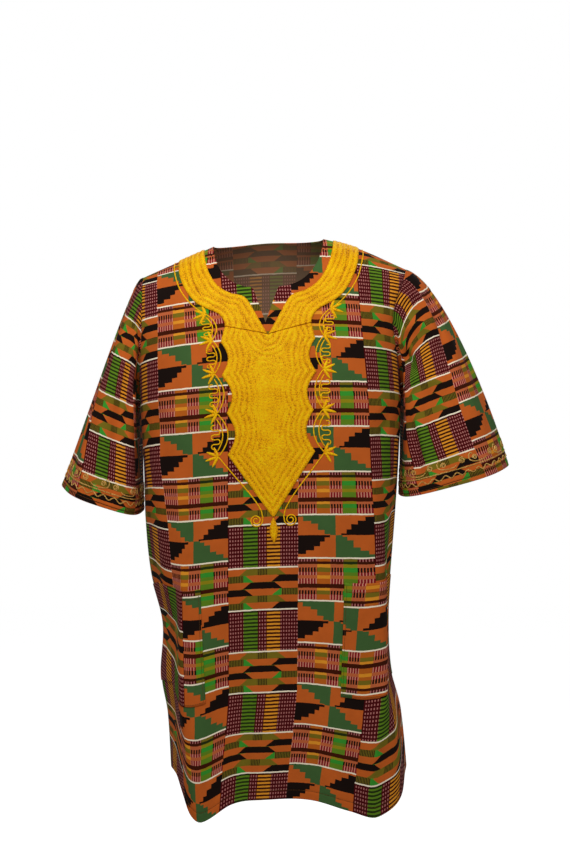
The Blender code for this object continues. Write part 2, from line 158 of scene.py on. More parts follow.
# Body sections: metres of cloth down from the neck, half widths to the left and right, depths to the front
# and back, how far round the panel reaches in degrees, and how square it is
SECTIONS = np.array((
    (-0.05, 0.230, 0.258, 0.128, 0.118, 62, 2.4),
    (0.00, 0.229, 0.255, 0.130, 0.120, 62, 2.4),
    (0.09, 0.225, 0.244, 0.130, 0.122, 62, 2.4),
    (0.17, 0.219, 0.216, 0.130, 0.126, 64, 2.5),
    (0.24, 0.215, 0.217, 0.131, 0.131, 74, 2.5),
    (0.30, 0.212, 0.219, 0.132, 0.134, 90, 2.6),
    (0.40, 0.206, 0.2155, 0.131, 0.134, 90, 2.7),
    (0.49, 0.203, 0.2100, 0.129, 0.132, 90, 2.8),
    (0.58, 0.194, 0.204, 0.126, 0.130, 90, 2.9),
    (0.67, 0.174, 0.199, 0.124, 0.128, 90, 3.0),
    (0.765, 0.177, 0.203, 0.124, 0.128, 90, 3.0),
    (0.84, 0.167, 0.219, 0.126, 0.130, 90, 3.0),
    (1.00, 0.158, 0.232, 0.128, 0.133, 90, 3.0),
))
LEFT, RIGHT, FRONT_DEPTH, BACK_DEPTH, REACH, SQUARE = range(1, 7)

# The hem's rise at places across a panel, from drape alone
FRONT_HEM = (
    (-1, 0.056), (-0.64, 0.048), (-0.53, 0.020), (-0.45, -0.010), (-0.38, -0.021), (-0.22, 0.002),
    (0, 0.009), (0.2, 0.002), (0.34, -0.015), (0.45, -0.030), (0.52, -0.023), (0.64, 0.002),
    (0.77, 0.029), (1, 0.045),
)
BACK_HEM = (
    (-1, 0.056), (-0.66, 0.024), (-0.42, -0.004), (-0.12, 0.004), (0.14, 0), (0.42, -0.006), (0.68, 0.020),
    (1, 0.045),
)

# Large folds: place across, lean for each metre down, width across, height, and where down the cloth each
# starts, is full and ends
FRONT_FOLDS = (
    (-0.70, 0.0, 0.10, -0.008, 0.36, 0.62, 1.10),
    (-0.43, 0.0, 0.10, 0.012, 0.46, 0.82, 1.20),
    (-0.22, 0.1, 0.09, -0.005, 0.50, 0.85, 1.20),
    (-0.02, 0.0, 0.10, 0.005, 0.56, 0.92, 1.20),
    (0.16, 0.0, 0.09, -0.005, 0.52, 0.90, 1.20),
    (0.32, 0.0, 0.08, 0.003, 0.50, 0.90, 1.20),
    (0.54, 0.1, 0.10, 0.013, 0.38, 0.78, 1.20),
    (0.77, 0.0, 0.09, -0.010, 0.34, 0.60, 1.10),
    (0.62, 1.1, 0.08, -0.006, 0.05, 0.15, 0.27),
    (-0.66, -0.9, 0.08, -0.005, 0.06, 0.16, 0.28),
)
BACK_FOLDS = (
    (-0.76, 0.0, 0.11, -0.009, 0.34, 0.60, 1.20),
    (-0.52, 0.1, 0.10, 0.010, 0.30, 0.70, 1.20),
    (-0.26, -0.1, 0.10, -0.009, 0.26, 0.60, 1.20),
    (0.02, 0.0, 0.12, 0.009, 0.22, 0.66, 1.20),
    (0.30, 0.1, 0.10, -0.009, 0.30, 0.64, 1.20),
    (0.56, 0.0, 0.10, 0.010, 0.34, 0.74, 1.20),
    (0.80, 0.0, 0.09, -0.008, 0.34, 0.60, 1.20),
)

# Creases: from one place to another, each as across and down in metres, then width and height. Each bends
# a little on its way, and fades in and out between shares of its length.
CREASE_BEND = 0.6
CREASE_FADE_IN = (-0.1, 0.35)
CREASE_FADE_OUT = (0.6, 1.1)
CREASE_SHARPNESS = 1.6
FRONT_CREASES = (
    (-0.150, 0.420, -0.118, 0.560, 0.010, 0.0022),
    (-0.134, 0.540, -0.112, 0.930, 0.009, 0.0062),
    (-0.160, 0.560, -0.142, 0.930, 0.013, -0.0065),
    (-0.088, 0.640, -0.080, 0.930, 0.012, -0.0018),
    (-0.060, 0.560, -0.048, 0.740, 0.009, 0.0010),
    (-0.030, 0.780, -0.026, 0.945, 0.010, -0.0013),
    (0.012, 0.690, 0.004, 0.945, 0.011, 0.0014),
    (0.052, 0.600, 0.040, 0.800, 0.010, -0.0011),
    (0.070, 0.740, 0.062, 0.945, 0.010, 0.0015),
    (0.105, 0.560, 0.098, 0.800, 0.012, -0.0020),
    (0.160, 0.330, 0.168, 0.560, 0.010, 0.0026),
    (0.184, 0.540, 0.165, 0.930, 0.010, 0.0058),
    (0.140, 0.420, 0.134, 0.620, 0.011, -0.0018),
    (0.199, 0.520, 0.192, 0.930, 0.010, -0.0052),
    (0.196, 0.315, 0.172, 0.400, 0.008, -0.0024),
    (0.188, 0.300, 0.150, 0.365, 0.007, 0.0016),
    (-0.190, 0.310, -0.160, 0.400, 0.008, -0.0022),
    (-0.185, 0.290, -0.135, 0.350, 0.007, 0.0014),
    (0.150, 0.060, 0.205, 0.170, 0.008, -0.0038),
    (0.168, 0.050, 0.222, 0.150, 0.007, 0.0032),
    (-0.165, 0.060, -0.195, 0.180, 0.008, -0.0018),
    (-0.150, 0.110, -0.190, 0.230, 0.007, 0.0012),
)
BACK_CREASES = (
    (-0.150, 0.400, -0.120, 0.640, 0.011, 0.0022),
    (-0.110, 0.560, -0.104, 0.900, 0.010, -0.0026),
    (-0.060, 0.300, -0.052, 0.620, 0.012, 0.0018),
    (-0.028, 0.640, -0.020, 0.930, 0.009, -0.0016),
    (0.014, 0.220, 0.010, 0.480, 0.010, -0.0014),
    (0.044, 0.520, 0.038, 0.860, 0.010, 0.0024),
    (0.082, 0.360, 0.076, 0.620, 0.009, -0.0018),
    (0.118, 0.600, 0.124, 0.930, 0.012, 0.0028),
    (0.160, 0.420, 0.166, 0.760, 0.010, -0.0024),
    (0.192, 0.305, 0.120, 0.380, 0.008, 0.0018),
    (-0.190, 0.305, -0.110, 0.390, 0.008, 0.0016),
    (0.150, 0.050, 0.205, 0.190, 0.009, -0.0022),
    (-0.160, 0.060, -0.195, 0.200, 0.008, -0.0020),
    (-0.070, 0.110, 0.060, 0.128, 0.010, 0.0012),
)


def curve(table, place, column=1):
    """Reads a table smoothly between its rows at many places at once."""
    table = np.asarray(table, float)
    keys = table[:, 0]
    values = table[:, column]
    place = np.clip(np.asarray(place, float), keys[0], keys[-1])
    low = np.clip(np.searchsorted(keys, place, side="right") - 1, 0, len(keys) - 2)
    high = low + 1
    before = np.maximum(low - 1, 0)
    after = np.minimum(high + 1, len(keys) - 1)
    span = keys[high] - keys[low]
    share = (place - keys[low]) / span
    start_slope = (values[high] - values[before]) / (keys[high] - keys[before]) * span
    end_slope = (values[after] - values[low]) / (keys[after] - keys[low]) * span
    square = share**2
    cube = share**3
    start = (2 * cube - 3 * square + 1) * values[low] + (cube - 2 * square + share) * start_slope
    return start + (3 * square - 2 * cube) * values[high] + (cube - square) * end_slope


def ease(value, start, end):
    """A smooth step from 0 at the start to 1 at the end."""
    share = np.clip((value - start) / (end - start), 0.0, 1.0)
    return share * share * (3 - 2 * share)


def fold_height(folds, across, down):
    """Height of the cloth's large folds."""
    height = np.zeros_like(down)
    for place, lean, width, tall, start, full, end in folds:
        bump = np.exp(-(((across - place - lean * (down - start)) / width) ** 2))
        height += tall * bump * ease(down, start, full) * (1 - ease(down, full, end))
    return height


def crease_height(creases, x, down):
    """Height of pressed and pulled lines in the cloth, each sharper than a fold and fading at its ends."""
    height = np.zeros_like(down)
    for start_x, start_down, end_x, end_down, width, tall in creases:
        way = np.array((end_x - start_x, end_down - start_down))
        size = np.hypot(*way)
        way /= size
        along = ((x - start_x) * way[0] + (down - start_down) * way[1]) / size
        aside = (x - start_x) * way[1] - (down - start_down) * way[0]
        aside += width * CREASE_BEND * np.sin(along * 4.1 + start_x * 50)
        fade = ease(along, *CREASE_FADE_IN) * (1 - ease(along, *CREASE_FADE_OUT))
        height += tall * np.exp(-np.abs(aside / width) ** CREASE_SHARPNESS) * fade
    return height


def hem_height(above, along):
    """Height of a sewn hem, from metres above its stitches and along them: a groove, and small puckers."""
    pull = 1 + 0.4 * np.sin(along * 390)
    groove = HEM_GROOVE * pull * np.exp(-((above / HEM_GROOVE_WIDTH) ** 2))
    pucker = np.sin(along * 310 + 2.5 * np.sin(along * 37)) + 0.6 * np.sin(along * 170 + 1.1)
    return HEM_PUCKER * pucker * np.exp(-((above / HEM_PUCKER_WIDTH) ** 2)) - groove


def seam_down(x):
    """Level of the shoulder seam at x."""
    return SHOULDER_SLOPE * (np.hypot(x, RIDGE_ROUND) - NECK_HALF) - SHOULDER_RISE


def fall(length, run, height):
    """How far out (as a share) and down a length of cloth reaches as it rolls off the shoulder and hangs."""
    angle = np.zeros_like(length)
    left = length.copy()
    for _ in range(ROLL_STEPS):
        middle = angle + ROLL_STEP / 2
        arc = np.hypot(run * np.cos(middle), height * np.sin(middle)) * ROLL_STEP
        going = (left > 0) & (angle < math.pi / 2 - ROLL_STEP / 10)
        share = np.where(going, np.minimum(1.0, left / arc), 0.0)
        angle += ROLL_STEP * share
        left -= arc * share
    return np.sin(angle), height * (1 - np.cos(angle)) + left


def section_shares(angle, square):
    """Across and outward shares of a rounded section at an angle from the panel's middle."""
    over = np.sin(np.abs(angle))
    out = np.maximum(np.cos(angle), 0.0)
    spread = (out**square + over**square) ** (-1 / square)
    return np.sign(angle) * spread * over, spread * out


def half_width(x, down):
    """Half width of the shirt on the side of the middle where x lies."""
    return np.where(x > 0, curve(SECTIONS, down, RIGHT), curve(SECTIONS, down, LEFT))


# Each panel: the way that it faces, the column of its depth, how far out and down its cloth needs to roll
# off the shoulder, and its tables
FRONT = {
    "outward": -1, "depth": FRONT_DEPTH, "run": 0.130, "height": 0.280, "hem": FRONT_HEM,
    "folds": FRONT_FOLDS, "creases": FRONT_CREASES,
}
BACK = {
    "outward": 1, "depth": BACK_DEPTH, "run": 0.120, "height": 0.200, "hem": BACK_HEM,
    "folds": BACK_FOLDS, "creases": BACK_CREASES,
}


def body_points(panel, across, down):
    """Points of a body panel's outer face."""
    across, down = np.broadcast_arrays(np.asarray(across, float), np.asarray(down, float))
    depth = curve(SECTIONS, down, panel["depth"])
    half = half_width(across, down)
    reach = np.radians(curve(SECTIONS, down, REACH))
    share_x, share_y = section_shares(across * reach, curve(SECTIONS, down, SQUARE))
    x = half * share_x
    edge = across * across
    run = panel["run"] * (1 - edge) + EDGE_RUN * edge
    height = panel["height"] * (1 - edge) + EDGE_HEIGHT * edge
    out_share, drop = fall(np.maximum(down - seam_down(x), 0.0), run, height)
    swell = fold_height(panel["folds"], across, down) + crease_height(panel["creases"], x, down)
    swell += hem_height(LENGTH - BODY_HEM - down, x)
    swell *= out_share * (1 - edge * edge)
    swell -= SEAM_DIP * np.exp(-(((1 - np.abs(across)) / SEAM_ROUND) ** 2))
    tip = np.hypot(share_x / half, share_y / depth)
    x = x + swell * share_x / half / tip
    y = depth * share_y * out_share + swell * share_y / depth / tip + SEAM_SIDE
    z = SHOULDER_TILT * x - seam_down(x) - drop
    z += BOW_HEIGHT * np.exp(-(((x - BOW_X) / BOW_WIDTH) ** 2)) * (1 - ease(down, 0.0, BOW_END))
    z += curve(panel["hem"], across) * (down / LENGTH) ** HEM_GROWTH
    return np.stack((x, panel["outward"] * y, z), axis=-1)


def body_normals(panel, across, down):
    """Unit normals of a body panel, out of the shirt."""
    step = NORMAL_STEP
    over = body_points(panel, across + step, down) - body_points(panel, across - step, down)
    under = body_points(panel, across, down + step) - body_points(panel, across, down - step)
    out = np.cross(over, under) * panel["outward"]
    return out / np.linalg.norm(out, axis=-1, keepdims=True)


def across_at(x, down):
    """Place across a panel whose point at this level lies at x."""
    square = curve(SECTIONS, down, SQUARE)
    reach = np.radians(curve(SECTIONS, down, REACH))
    share = np.clip(np.abs(x) / half_width(x, down), 1e-6, 0.9999)
    turn = np.arctan2(1, (share**-square - 1) ** (1 / square))
    return np.sign(x) * turn / reach


def neck_down(panel, x):
    """Level of the panel's top edge at x: the neckline inside the neck, the shoulder seam outside it."""
    start = seam_down(NECK_HALF)
    bowl = (1 - np.minimum(np.abs(x) / NECK_HALF, 1) ** NECK_ROUND) ** (1 / NECK_ROUND)
    if panel is BACK:
        return np.where(np.abs(x) < NECK_HALF, start + (NECK_BACK - start) * bowl, seam_down(x))
    notch = np.maximum(0.0, 1 - np.abs(x - NOTCH_X) / NOTCH_HALF) * NOTCH_DEPTH
    return np.where(np.abs(x) < NECK_HALF, start + (NECK_FRONT - start) * bowl + notch, seam_down(x))


def body_tip(across):
    """Level of the shoulder seam at the armhole edge."""
    down = np.zeros(1)
    for _ in range(6):
        reach = np.radians(curve(SECTIONS, down, REACH))
        share = section_shares(across * reach, curve(SECTIONS, down, SQUARE))[0]
        down = seam_down(half_width(across, down) * share)
    return float(down[0])


# The grid of a panel: where its columns meet the neck or the shoulder seam, its rows beside the armhole and
# below it, and how many finer columns and rows each of these is split into
FRONT_TOPS = (0.020, 0.042, 0.061, 0.076, 0.086, NECK_HALF, 0.106, 0.124, 0.143, 0.162, 0.181, 0.200)
BACK_TOPS = (0.030, 0.056, 0.076, NECK_HALF, 0.116, 0.143, 0.170, 0.198)
ARMHOLE_ROWS = 12
ROW_CROWDING = 1.6
LEVEL_ROWS = 20
SPARED_ROWS = 4
EDGE_STEPS = 20
CELLS = {"front": (5, 7), "back": (6, 6)}


def panel_cells(panel, name):
    """Place across and down of each grid corner of a body panel, in rows from the top edge to the hem."""
    tops = np.array(FRONT_TOPS if panel is FRONT else BACK_TOPS)
    count = len(tops) + 1
    tops = np.concatenate((-tops[::-1], [0.0], tops))
    if panel is FRONT:
        tops = tops + np.where(np.abs(tops) < NECK_HALF, NOTCH_X * (1 - np.abs(tops) / NECK_HALF), 0)
    fine_columns, fine_rows = CELLS[name]
    places = np.linspace(-1, 1, 2 * count * fine_columns + 1)
    top_x = np.interp(places, np.arange(1 - count, count) / count, tops)
    top_down = neck_down(panel, top_x)
    top_across = across_at(top_x, top_down)
    # Between the last column and the armhole edge, the top edge runs on to the shoulder's tip
    for side in (-1, 1):
        end = np.abs(places) > (count - 1) / count - 1e-9
        end &= np.sign(places) == side
        last = np.interp(side * (count - 1) / count, places, top_across)
        share = (np.abs(places) * count - (count - 1)).clip(0, 1)
        edge = last + (side - last) * share
        start_down = np.interp(side * (count - 1) / count, places, top_down)
        top_across = np.where(end, edge, top_across)
        top_down = np.where(end, start_down + (body_tip(side) - start_down) * share, top_down)
    rows = []
    for row in range(ARMHOLE_ROWS * fine_rows):
        share = (row / fine_rows / ARMHOLE_ROWS) ** ROW_CROWDING
        rows.append((top_across + (places - top_across) * share, top_down + (UNDERARM - top_down) * share))
    levels = np.linspace(UNDERARM, LENGTH - HEM_ZONE, LEVEL_ROWS * fine_rows - SPARED_ROWS)
    for level in np.concatenate((levels, np.linspace(levels[-1], LENGTH, HEM_ROWS + 1)[1:])):
        rows.append((places, np.full_like(places, level)))
    across, down = np.array(rows).transpose(1, 0, 2)
    return across, down


# The print's own grain, in metres of flat cloth: strips are 0.11 wide, and their edges lie at these places
# across the front at each level; cells are 0.0657 tall, and their first edges lie at these levels
STRIP = 0.110
CELL = 0.0657
STRIP_EDGES = (-0.172, -0.12525, -0.062, 0.048, 0.158)
FRONT_GRAIN = (
    (0.00, -0.184, -0.1390, -0.077, 0.0330, 0.137),
    (0.10, -0.181, -0.1365, -0.076, 0.0340, 0.142),
    (0.18, -0.178, -0.1320, -0.069, 0.0410, 0.1486),
    (0.24, -0.176, -0.1280, -0.062, 0.0477, 0.153),
    (0.32, -0.174, -0.1265, -0.062, 0.0477, 0.160),
    (0.40, -0.172, -0.1255, -0.062, 0.0477, 0.161),
    (0.50, -0.158, -0.1240, -0.062, 0.0477, 0.167),
    (0.60, -0.150, -0.1236, -0.062, 0.0477, 0.168),
    (0.77, -0.137, -0.1170, -0.062, 0.0470, 0.152),
    (0.84, -0.133, -0.1145, -0.068, 0.0400, 0.146),
    (0.91, -0.130, -0.1125, -0.074, 0.0320, 0.135),
    (1.00, -0.128, -0.1100, -0.080, 0.0240, 0.130),
)
BACK_GRAIN = (
    (0.0, -0.172, -0.1253, -0.062, 0.048, 0.158),
    (1.0, -0.160, -0.1160, -0.060, 0.044, 0.146),
)
CELL_EDGES = (
    (-0.05, -2.70), (0.0, -2.0), (0.0703, -1.0), (0.1414, 0.0), (0.2125, 1.0), (0.2844, 2.0), (0.3548, 3.0),
    (0.4255, 4.0), (0.4920, 5.0), (0.5594, 6.0), (0.6263, 7.0), (0.6930, 8.0), (0.7580, 9.0), (0.8230, 10.0),
    (0.8860, 11.0), (0.9510, 12.0), (1.0160, 13.0),
)
# How far the cells rise towards the side seams, by place across, and the levels between which this sets in
SIDE_RISE = (
    (-1, 0.030), (-0.82, 0.021), (-0.62, 0.006), (-0.50, 0), (0.60, 0), (0.70, 0.010), (0.80, 0.024),
    (1, 0.048),
)
SIDE_RISE_LEVELS = (0.40, 0.58)
FRONT["grain"] = FRONT_GRAIN
BACK["grain"] = BACK_GRAIN


def grain(panel, across, down):
    """Place of each point on the flat cloth, in metres across and down."""
    reach = np.radians(curve(SECTIONS, down, REACH))
    square = curve(SECTIONS, down, SQUARE)
    half = half_width(across, down)
    depth = curve(SECTIONS, down, panel["depth"])
    x = half * section_shares(across * reach, square)[0]
    levels, *columns = np.array(panel["grain"]).T
    edges = np.stack([np.interp(down, levels, column) for column in columns])
    flat = np.zeros_like(x)
    for low, high, start, end in zip(edges, edges[1:], STRIP_EDGES, STRIP_EDGES[1:]):
        inside = (x >= low) & (x <= high)
        flat = np.where(inside, start + (end - start) * (x - low) / (high - low), flat)
    # Past the outermost edges that show, the place follows the cloth's own length round to the side seam
    for limit, base, side in ((edges[0], STRIP_EDGES[0], -1), (edges[-1], STRIP_EDGES[-1], 1)):
        start = across_at(limit, down)
        outside = side * x > side * limit
        length = np.zeros_like(x)
        previous = None
        for share in np.linspace(0, 1, EDGE_STEPS):
            place = start + np.where(outside, across - start, 0) * share
            over, out = section_shares(place * reach, square)
            here = np.stack((half * over, depth * out))
            if previous is not None:
                length += np.hypot(*(here - previous))
            previous = here
        flat = np.where(outside, base + side * length, flat)
    rise = curve(SIDE_RISE, across) * ease(down, *SIDE_RISE_LEVELS)
    return flat, curve(CELL_EDGES, down) * CELL + rise


def finished(piece, slot, *nodes):
    """Ties a piece to the shirt's one body and hides the solids that it stands for; its slot is not used."""
    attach(piece, "root")
    if nodes:
        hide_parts(*nodes)
    return piece


def lay_grid(work, points, flat):
    """Adds a grid whose corners lie at rows of points, with two numbers at each corner as its UV map."""
    rows, columns = points.shape[0] - 1, points.shape[1] - 1
    chart = work.loops.layers.uv.get("flat_cloth") or work.loops.layers.uv.new("flat_cloth")
    corners = bmesh.ops.create_grid(work, x_segments=columns, y_segments=rows, size=1)["verts"]
    place = {}
    for corner in corners:
        place[corner] = (round((1 - corner.co.y) / 2 * rows), round((corner.co.x + 1) / 2 * columns))
    for corner, (row, column) in place.items():
        for loop in corner.link_loops:
            loop[chart].uv = (flat[0][row, column], flat[1][row, column])
        corner.co = points[row, column]


def walled_piece(name, work, wall, offset, *made_of):
    """A piece with a wall's thickness from a finished surface, in its materials."""
    mesh = bpy.data.meshes.new(name)
    work.to_mesh(mesh)
    work.free()
    mesh.shade_smooth()
    for material in made_of:
        mesh.materials.append(material)
    piece = bpy.data.objects.new(name, mesh)
    bpy.context.scene.collection.objects.link(piece)
    shell = piece.modifiers.new("wall", "SOLIDIFY")
    shell.thickness = wall
    shell.offset = offset
    shell.use_even_offset = False
    return piece


def cloth_piece(name, points, flat, *made_of, closed=False, outward=False, wall=COTTON_WALL):
    """A wall of cloth from rows of points, with its place on the flat cloth as its UV map."""
    work = bmesh.new()
    lay_grid(work, points, flat)
    if closed:
        bmesh.ops.remove_doubles(work, verts=work.verts, dist=MERGE_DISTANCE)
    piece = walled_piece(name, work, wall, 1.0 if outward else -1.0, *made_of)
    piece.modifiers["wall"].material_offset = 1
    return piece


class Reading:
    """A number that a dye or finish works out at each point of the cloth."""

    def __init__(self, tree, socket):
        self.tree = tree
        self.socket = socket

    def with_math(self, operation, *others):
        node = self.tree.nodes.new("ShaderNodeMath")
        node.operation = operation
        for end, value in zip(node.inputs, (self, *others)):
            if isinstance(value, Reading):
                self.tree.links.new(value.socket, end)
            else:
                end.default_value = value
        return Reading(self.tree, node.outputs[0])

    def __add__(self, other):
        return self.with_math("ADD", other)

    def __sub__(self, other):
        return self.with_math("SUBTRACT", other)

    def __mul__(self, other):
        return self.with_math("MULTIPLY", other)

    def __mod__(self, other):
        return self.with_math("FLOORED_MODULO", other)

    def __abs__(self):
        return self.with_math("ABSOLUTE")

    def above(self, other):
        return self.with_math("GREATER_THAN", other)

    def below(self, other):
        return self.with_math("LESS_THAN", other)


def dye(red, green, blue):
    """A dye's colour from how it looks in daylight, from 0 to 255."""
    shares = [value / 255 for value in (red, green, blue)]
    return tuple(v / 12.92 if v <= 0.04045 else ((v + 0.055) / 1.055) ** 2.4 for v in shares) + (1.0,)


def bands(reading, *rows):
    """A colour or number for each band of a reading, from (start, value) rows."""
    node = reading.tree.nodes.new("ShaderNodeValToRGB")
    node.color_ramp.interpolation = "CONSTANT"
    stops = node.color_ramp.elements
    stops.remove(stops[1])
    for number, (start, value) in enumerate(rows):
        stop = stops[0] if number == 0 else stops.new(start)
        stop.position = start
        stop.color = value if isinstance(value, tuple) else (value, value, value, 1.0)
    reading.tree.links.new(reading.socket, node.inputs["Fac"])
    return Reading(reading.tree, node.outputs["Color"])


def chosen(share, first, second):
    """The first colour where the share is 0, the second where it is 1."""
    node = share.tree.nodes.new("ShaderNodeMix")
    node.data_type = "RGBA"
    share.tree.links.new(share.socket, node.inputs[0])
    for end, colour in ((node.inputs[6], first), (node.inputs[7], second)):
        if isinstance(colour, Reading):
            share.tree.links.new(colour.socket, end)
        else:
            end.default_value = colour
    return Reading(share.tree, node.outputs[2])


RUST = dye(202, 97, 34)
BLACK = dye(24, 11, 6)
GREEN = dye(67, 100, 52)
LIME = dye(58, 152, 46)
OLIVE = dye(124, 108, 26)
OCHRE = dye(152, 138, 20)
LEAF = dye(98, 136, 30)
GOLD = dye(232, 150, 40)
AMBER = dye(192, 98, 26)
SALMON = dye(196, 100, 58)
SHELL = dye(214, 142, 116)
PINK = dye(186, 116, 108)
CRIMSON = dye(138, 20, 30)
BURGUNDY = dye(76, 4, 9)
MAROON = dye(66, 20, 0)
BARK = dye(50, 34, 14)
MOSS = dye(36, 50, 10)
CREAM = dye(255, 240, 212)

# The cells of the print: shares of a strip's width across and of a cell's height down. A cream line heads
# each cell, and the cells of the even strips lie a little lower than those of the odd strips.
LINE = 0.034
MIDDLE = 0.4925
TEETH = 26
GRID_LAG = 0.20
STRIP_START = STRIP_EDGES[2]
DOT_ROWS = 11
GRID_COLUMNS = (0, 0.215, 0.425, 0.553, 0.746)
LOZENGE_ROWS = 6
LOZENGE_SLOPE = 0.12
HATCHES = 44
BAR_LEVELS = (0, 0.095, 0.16, 0.235, 0.34, 0.42, 0.50, 0.62, 0.715, 0.775, 0.87)


def grid_cell(across, down):
    """Rows of pale dots and two columns of bars."""
    rows = ((down - LINE) * (DOT_ROWS / (1 - LINE)) % 1.0).above(0.50)
    dots = ((across * TEETH) % 1.0).above(0.56)
    solid = bands(across, *zip(GRID_COLUMNS, (0.0, 1.0, 0.0, 1.0, 0.0)))
    ground = bands(across, *zip(GRID_COLUMNS, (BURGUNDY, MOSS, BURGUNDY, MAROON, BURGUNDY)))
    mark = bands(across, *zip(GRID_COLUMNS, (PINK, LEAF, PINK, GOLD, PINK)))
    return chosen(rows * dots.with_math("MAXIMUM", solid), ground, mark)


def diamond_cell(across, down):
    """Six rows of lozenges, which widen and narrow in turn."""
    rows = (down - LINE) * (LOZENGE_ROWS / (1 - LINE))
    inside = rows % 1.0
    narrowing = (rows % 2.0).above(1.0)
    aside = abs(across - MIDDLE)
    edge = aside + inside * (narrowing * (2 * LOZENGE_SLOPE) - LOZENGE_SLOPE)
    limits = bands(
        down, (0, 0.215), (0.20, 0.245), (0.36, 0.165), (0.52, 0.255), (0.68, 0.215), (0.84, 0.245)
    )
    inner = edge.below(limits)
    third = bands(down, (0, 0.0), (0.36, 1.0), (0.52, 0.0))
    fourth = bands(down, (0, 0.0), (0.52, 1.0), (0.68, 0.0))
    hatch = chosen(((across * HATCHES) % 1.0).above(0.55), BARK, OLIVE)
    leaf = chosen(aside.above(0.2725), LIME, hatch)
    left = across.below(MIDDLE)
    outer_narrow = chosen(abs(left - fourth), BLACK, leaf)
    inner_wide = chosen(third, chosen(aside.below(0.0745), OLIVE, hatch), BLACK)
    wide = chosen(inner, RUST, inner_wide)
    return chosen(narrowing, wide, chosen(inner, outer_narrow, RUST))


def stair_cell(across, down):
    """Four quarters, each with a stair of five steps."""
    top = down.below(0.49)
    left = across.below(0.495)
    upper = bands(
        across, (0, 0.065), (0.065, 0.165), (0.17, 0.23), (0.26, 0.375), (0.345, 0.468), (0.42, 1.0),
        (0.57, 0.453), (0.64, 0.36), (0.705, 0.245), (0.79, 0.16), (0.89, 0.07),
    )
    lower = bands(
        across, (0, 0.925), (0.105, 0.842), (0.21, 0.748), (0.287, 0.64), (0.35, 0.545), (0.42, 0.0),
        (0.587, 0.53), (0.652, 0.61), (0.735, 0.77), (0.826, 0.842), (0.93, 0.935),
    )
    steps = top * down.above(upper) + (abs(top - 1.0)) * down.below(lower)
    apart = abs(left - top)
    return chosen(steps, chosen(apart, GREEN, RUST), chosen(apart, RUST, BLACK))


def bar_cell(across, down):
    """Rows of teeth and plain bars, crossed by two columns of squares."""
    light = bands(down, *zip(BAR_LEVELS, (
        PINK, MAROON, SALMON, SALMON, SHELL, SALMON, SHELL, MAROON, SALMON, SALMON, SHELL,
    )))
    dark = bands(down, *zip(BAR_LEVELS, (
        BURGUNDY, MAROON, SALMON, BLACK, CRIMSON, SALMON, CRIMSON, MAROON, SALMON, BLACK, CRIMSON,
    )))
    warm = bands(down, *zip(BAR_LEVELS, (
        AMBER, MAROON, GOLD, OLIVE, AMBER, GOLD, AMBER, MAROON, GOLD, OLIVE, AMBER,
    )))
    green = bands(down, *zip(BAR_LEVELS, (
        OLIVE, MOSS, OCHRE, LIME, LEAF, OCHRE, LEAF, MAROON, OCHRE, LIME, LEAF,
    )))
    teeth = chosen(((across * TEETH) % 1.0).above(0.38), light, dark)
    is_warm = bands(across, (0, 0.0), (0.2475, 1.0), (0.425, 0.0))
    is_green = bands(across, (0, 0.0), (0.595, 1.0), (0.783, 0.0))
    return chosen(is_green, chosen(is_warm, teeth, warm), green)


WEAVE = 0.00055
WEAVE_HEIGHT = 0.00025
PRINT_WANDER = 0.0012
INSIDE_FADE = 0.45
INSIDE_TINT = dye(205, 170, 135)
COTTON_FINISH = {
    "Roughness": 0.88, "Specular IOR Level": 0.12, "Sheen Weight": 0.015, "Sheen Roughness": 0.4,
}


def new_finish(name, settings):
    """A new material and its shader, with both numbers of the UV map as readings."""
    made = bpy.data.materials.new(name)
    made.use_nodes = True
    tree = made.node_tree
    shader = tree.nodes["Principled BSDF"]
    for setting, value in settings.items():
        shader.inputs[setting].default_value = value
    chart = tree.nodes.new("ShaderNodeUVMap")
    chart.uv_map = "flat_cloth"
    ends = tree.nodes.new("ShaderNodeSeparateXYZ")
    tree.links.new(chart.outputs["UV"], ends.inputs[0])
    first = Reading(tree, ends.outputs["X"])
    second = Reading(tree, ends.outputs["Y"])
    return made, shader, chart.outputs["UV"], first, second


def noise(tree, place, scale, detail):
    """Soft random patches over a place."""
    node = tree.nodes.new("ShaderNodeTexNoise")
    node.inputs["Scale"].default_value = scale
    node.inputs["Detail"].default_value = detail
    tree.links.new(place, node.inputs["Vector"])
    return Reading(tree, node.outputs["Fac"])


def raise_surface(shader, height, distance, strength):
    """Shades a surface as if it stood up by a reading."""
    bump = height.tree.nodes.new("ShaderNodeBump")
    bump.inputs["Distance"].default_value = distance
    bump.inputs["Strength"].default_value = strength
    height.tree.links.new(height.socket, bump.inputs["Height"])
    height.tree.links.new(bump.outputs["Normal"], shader.inputs["Normal"])


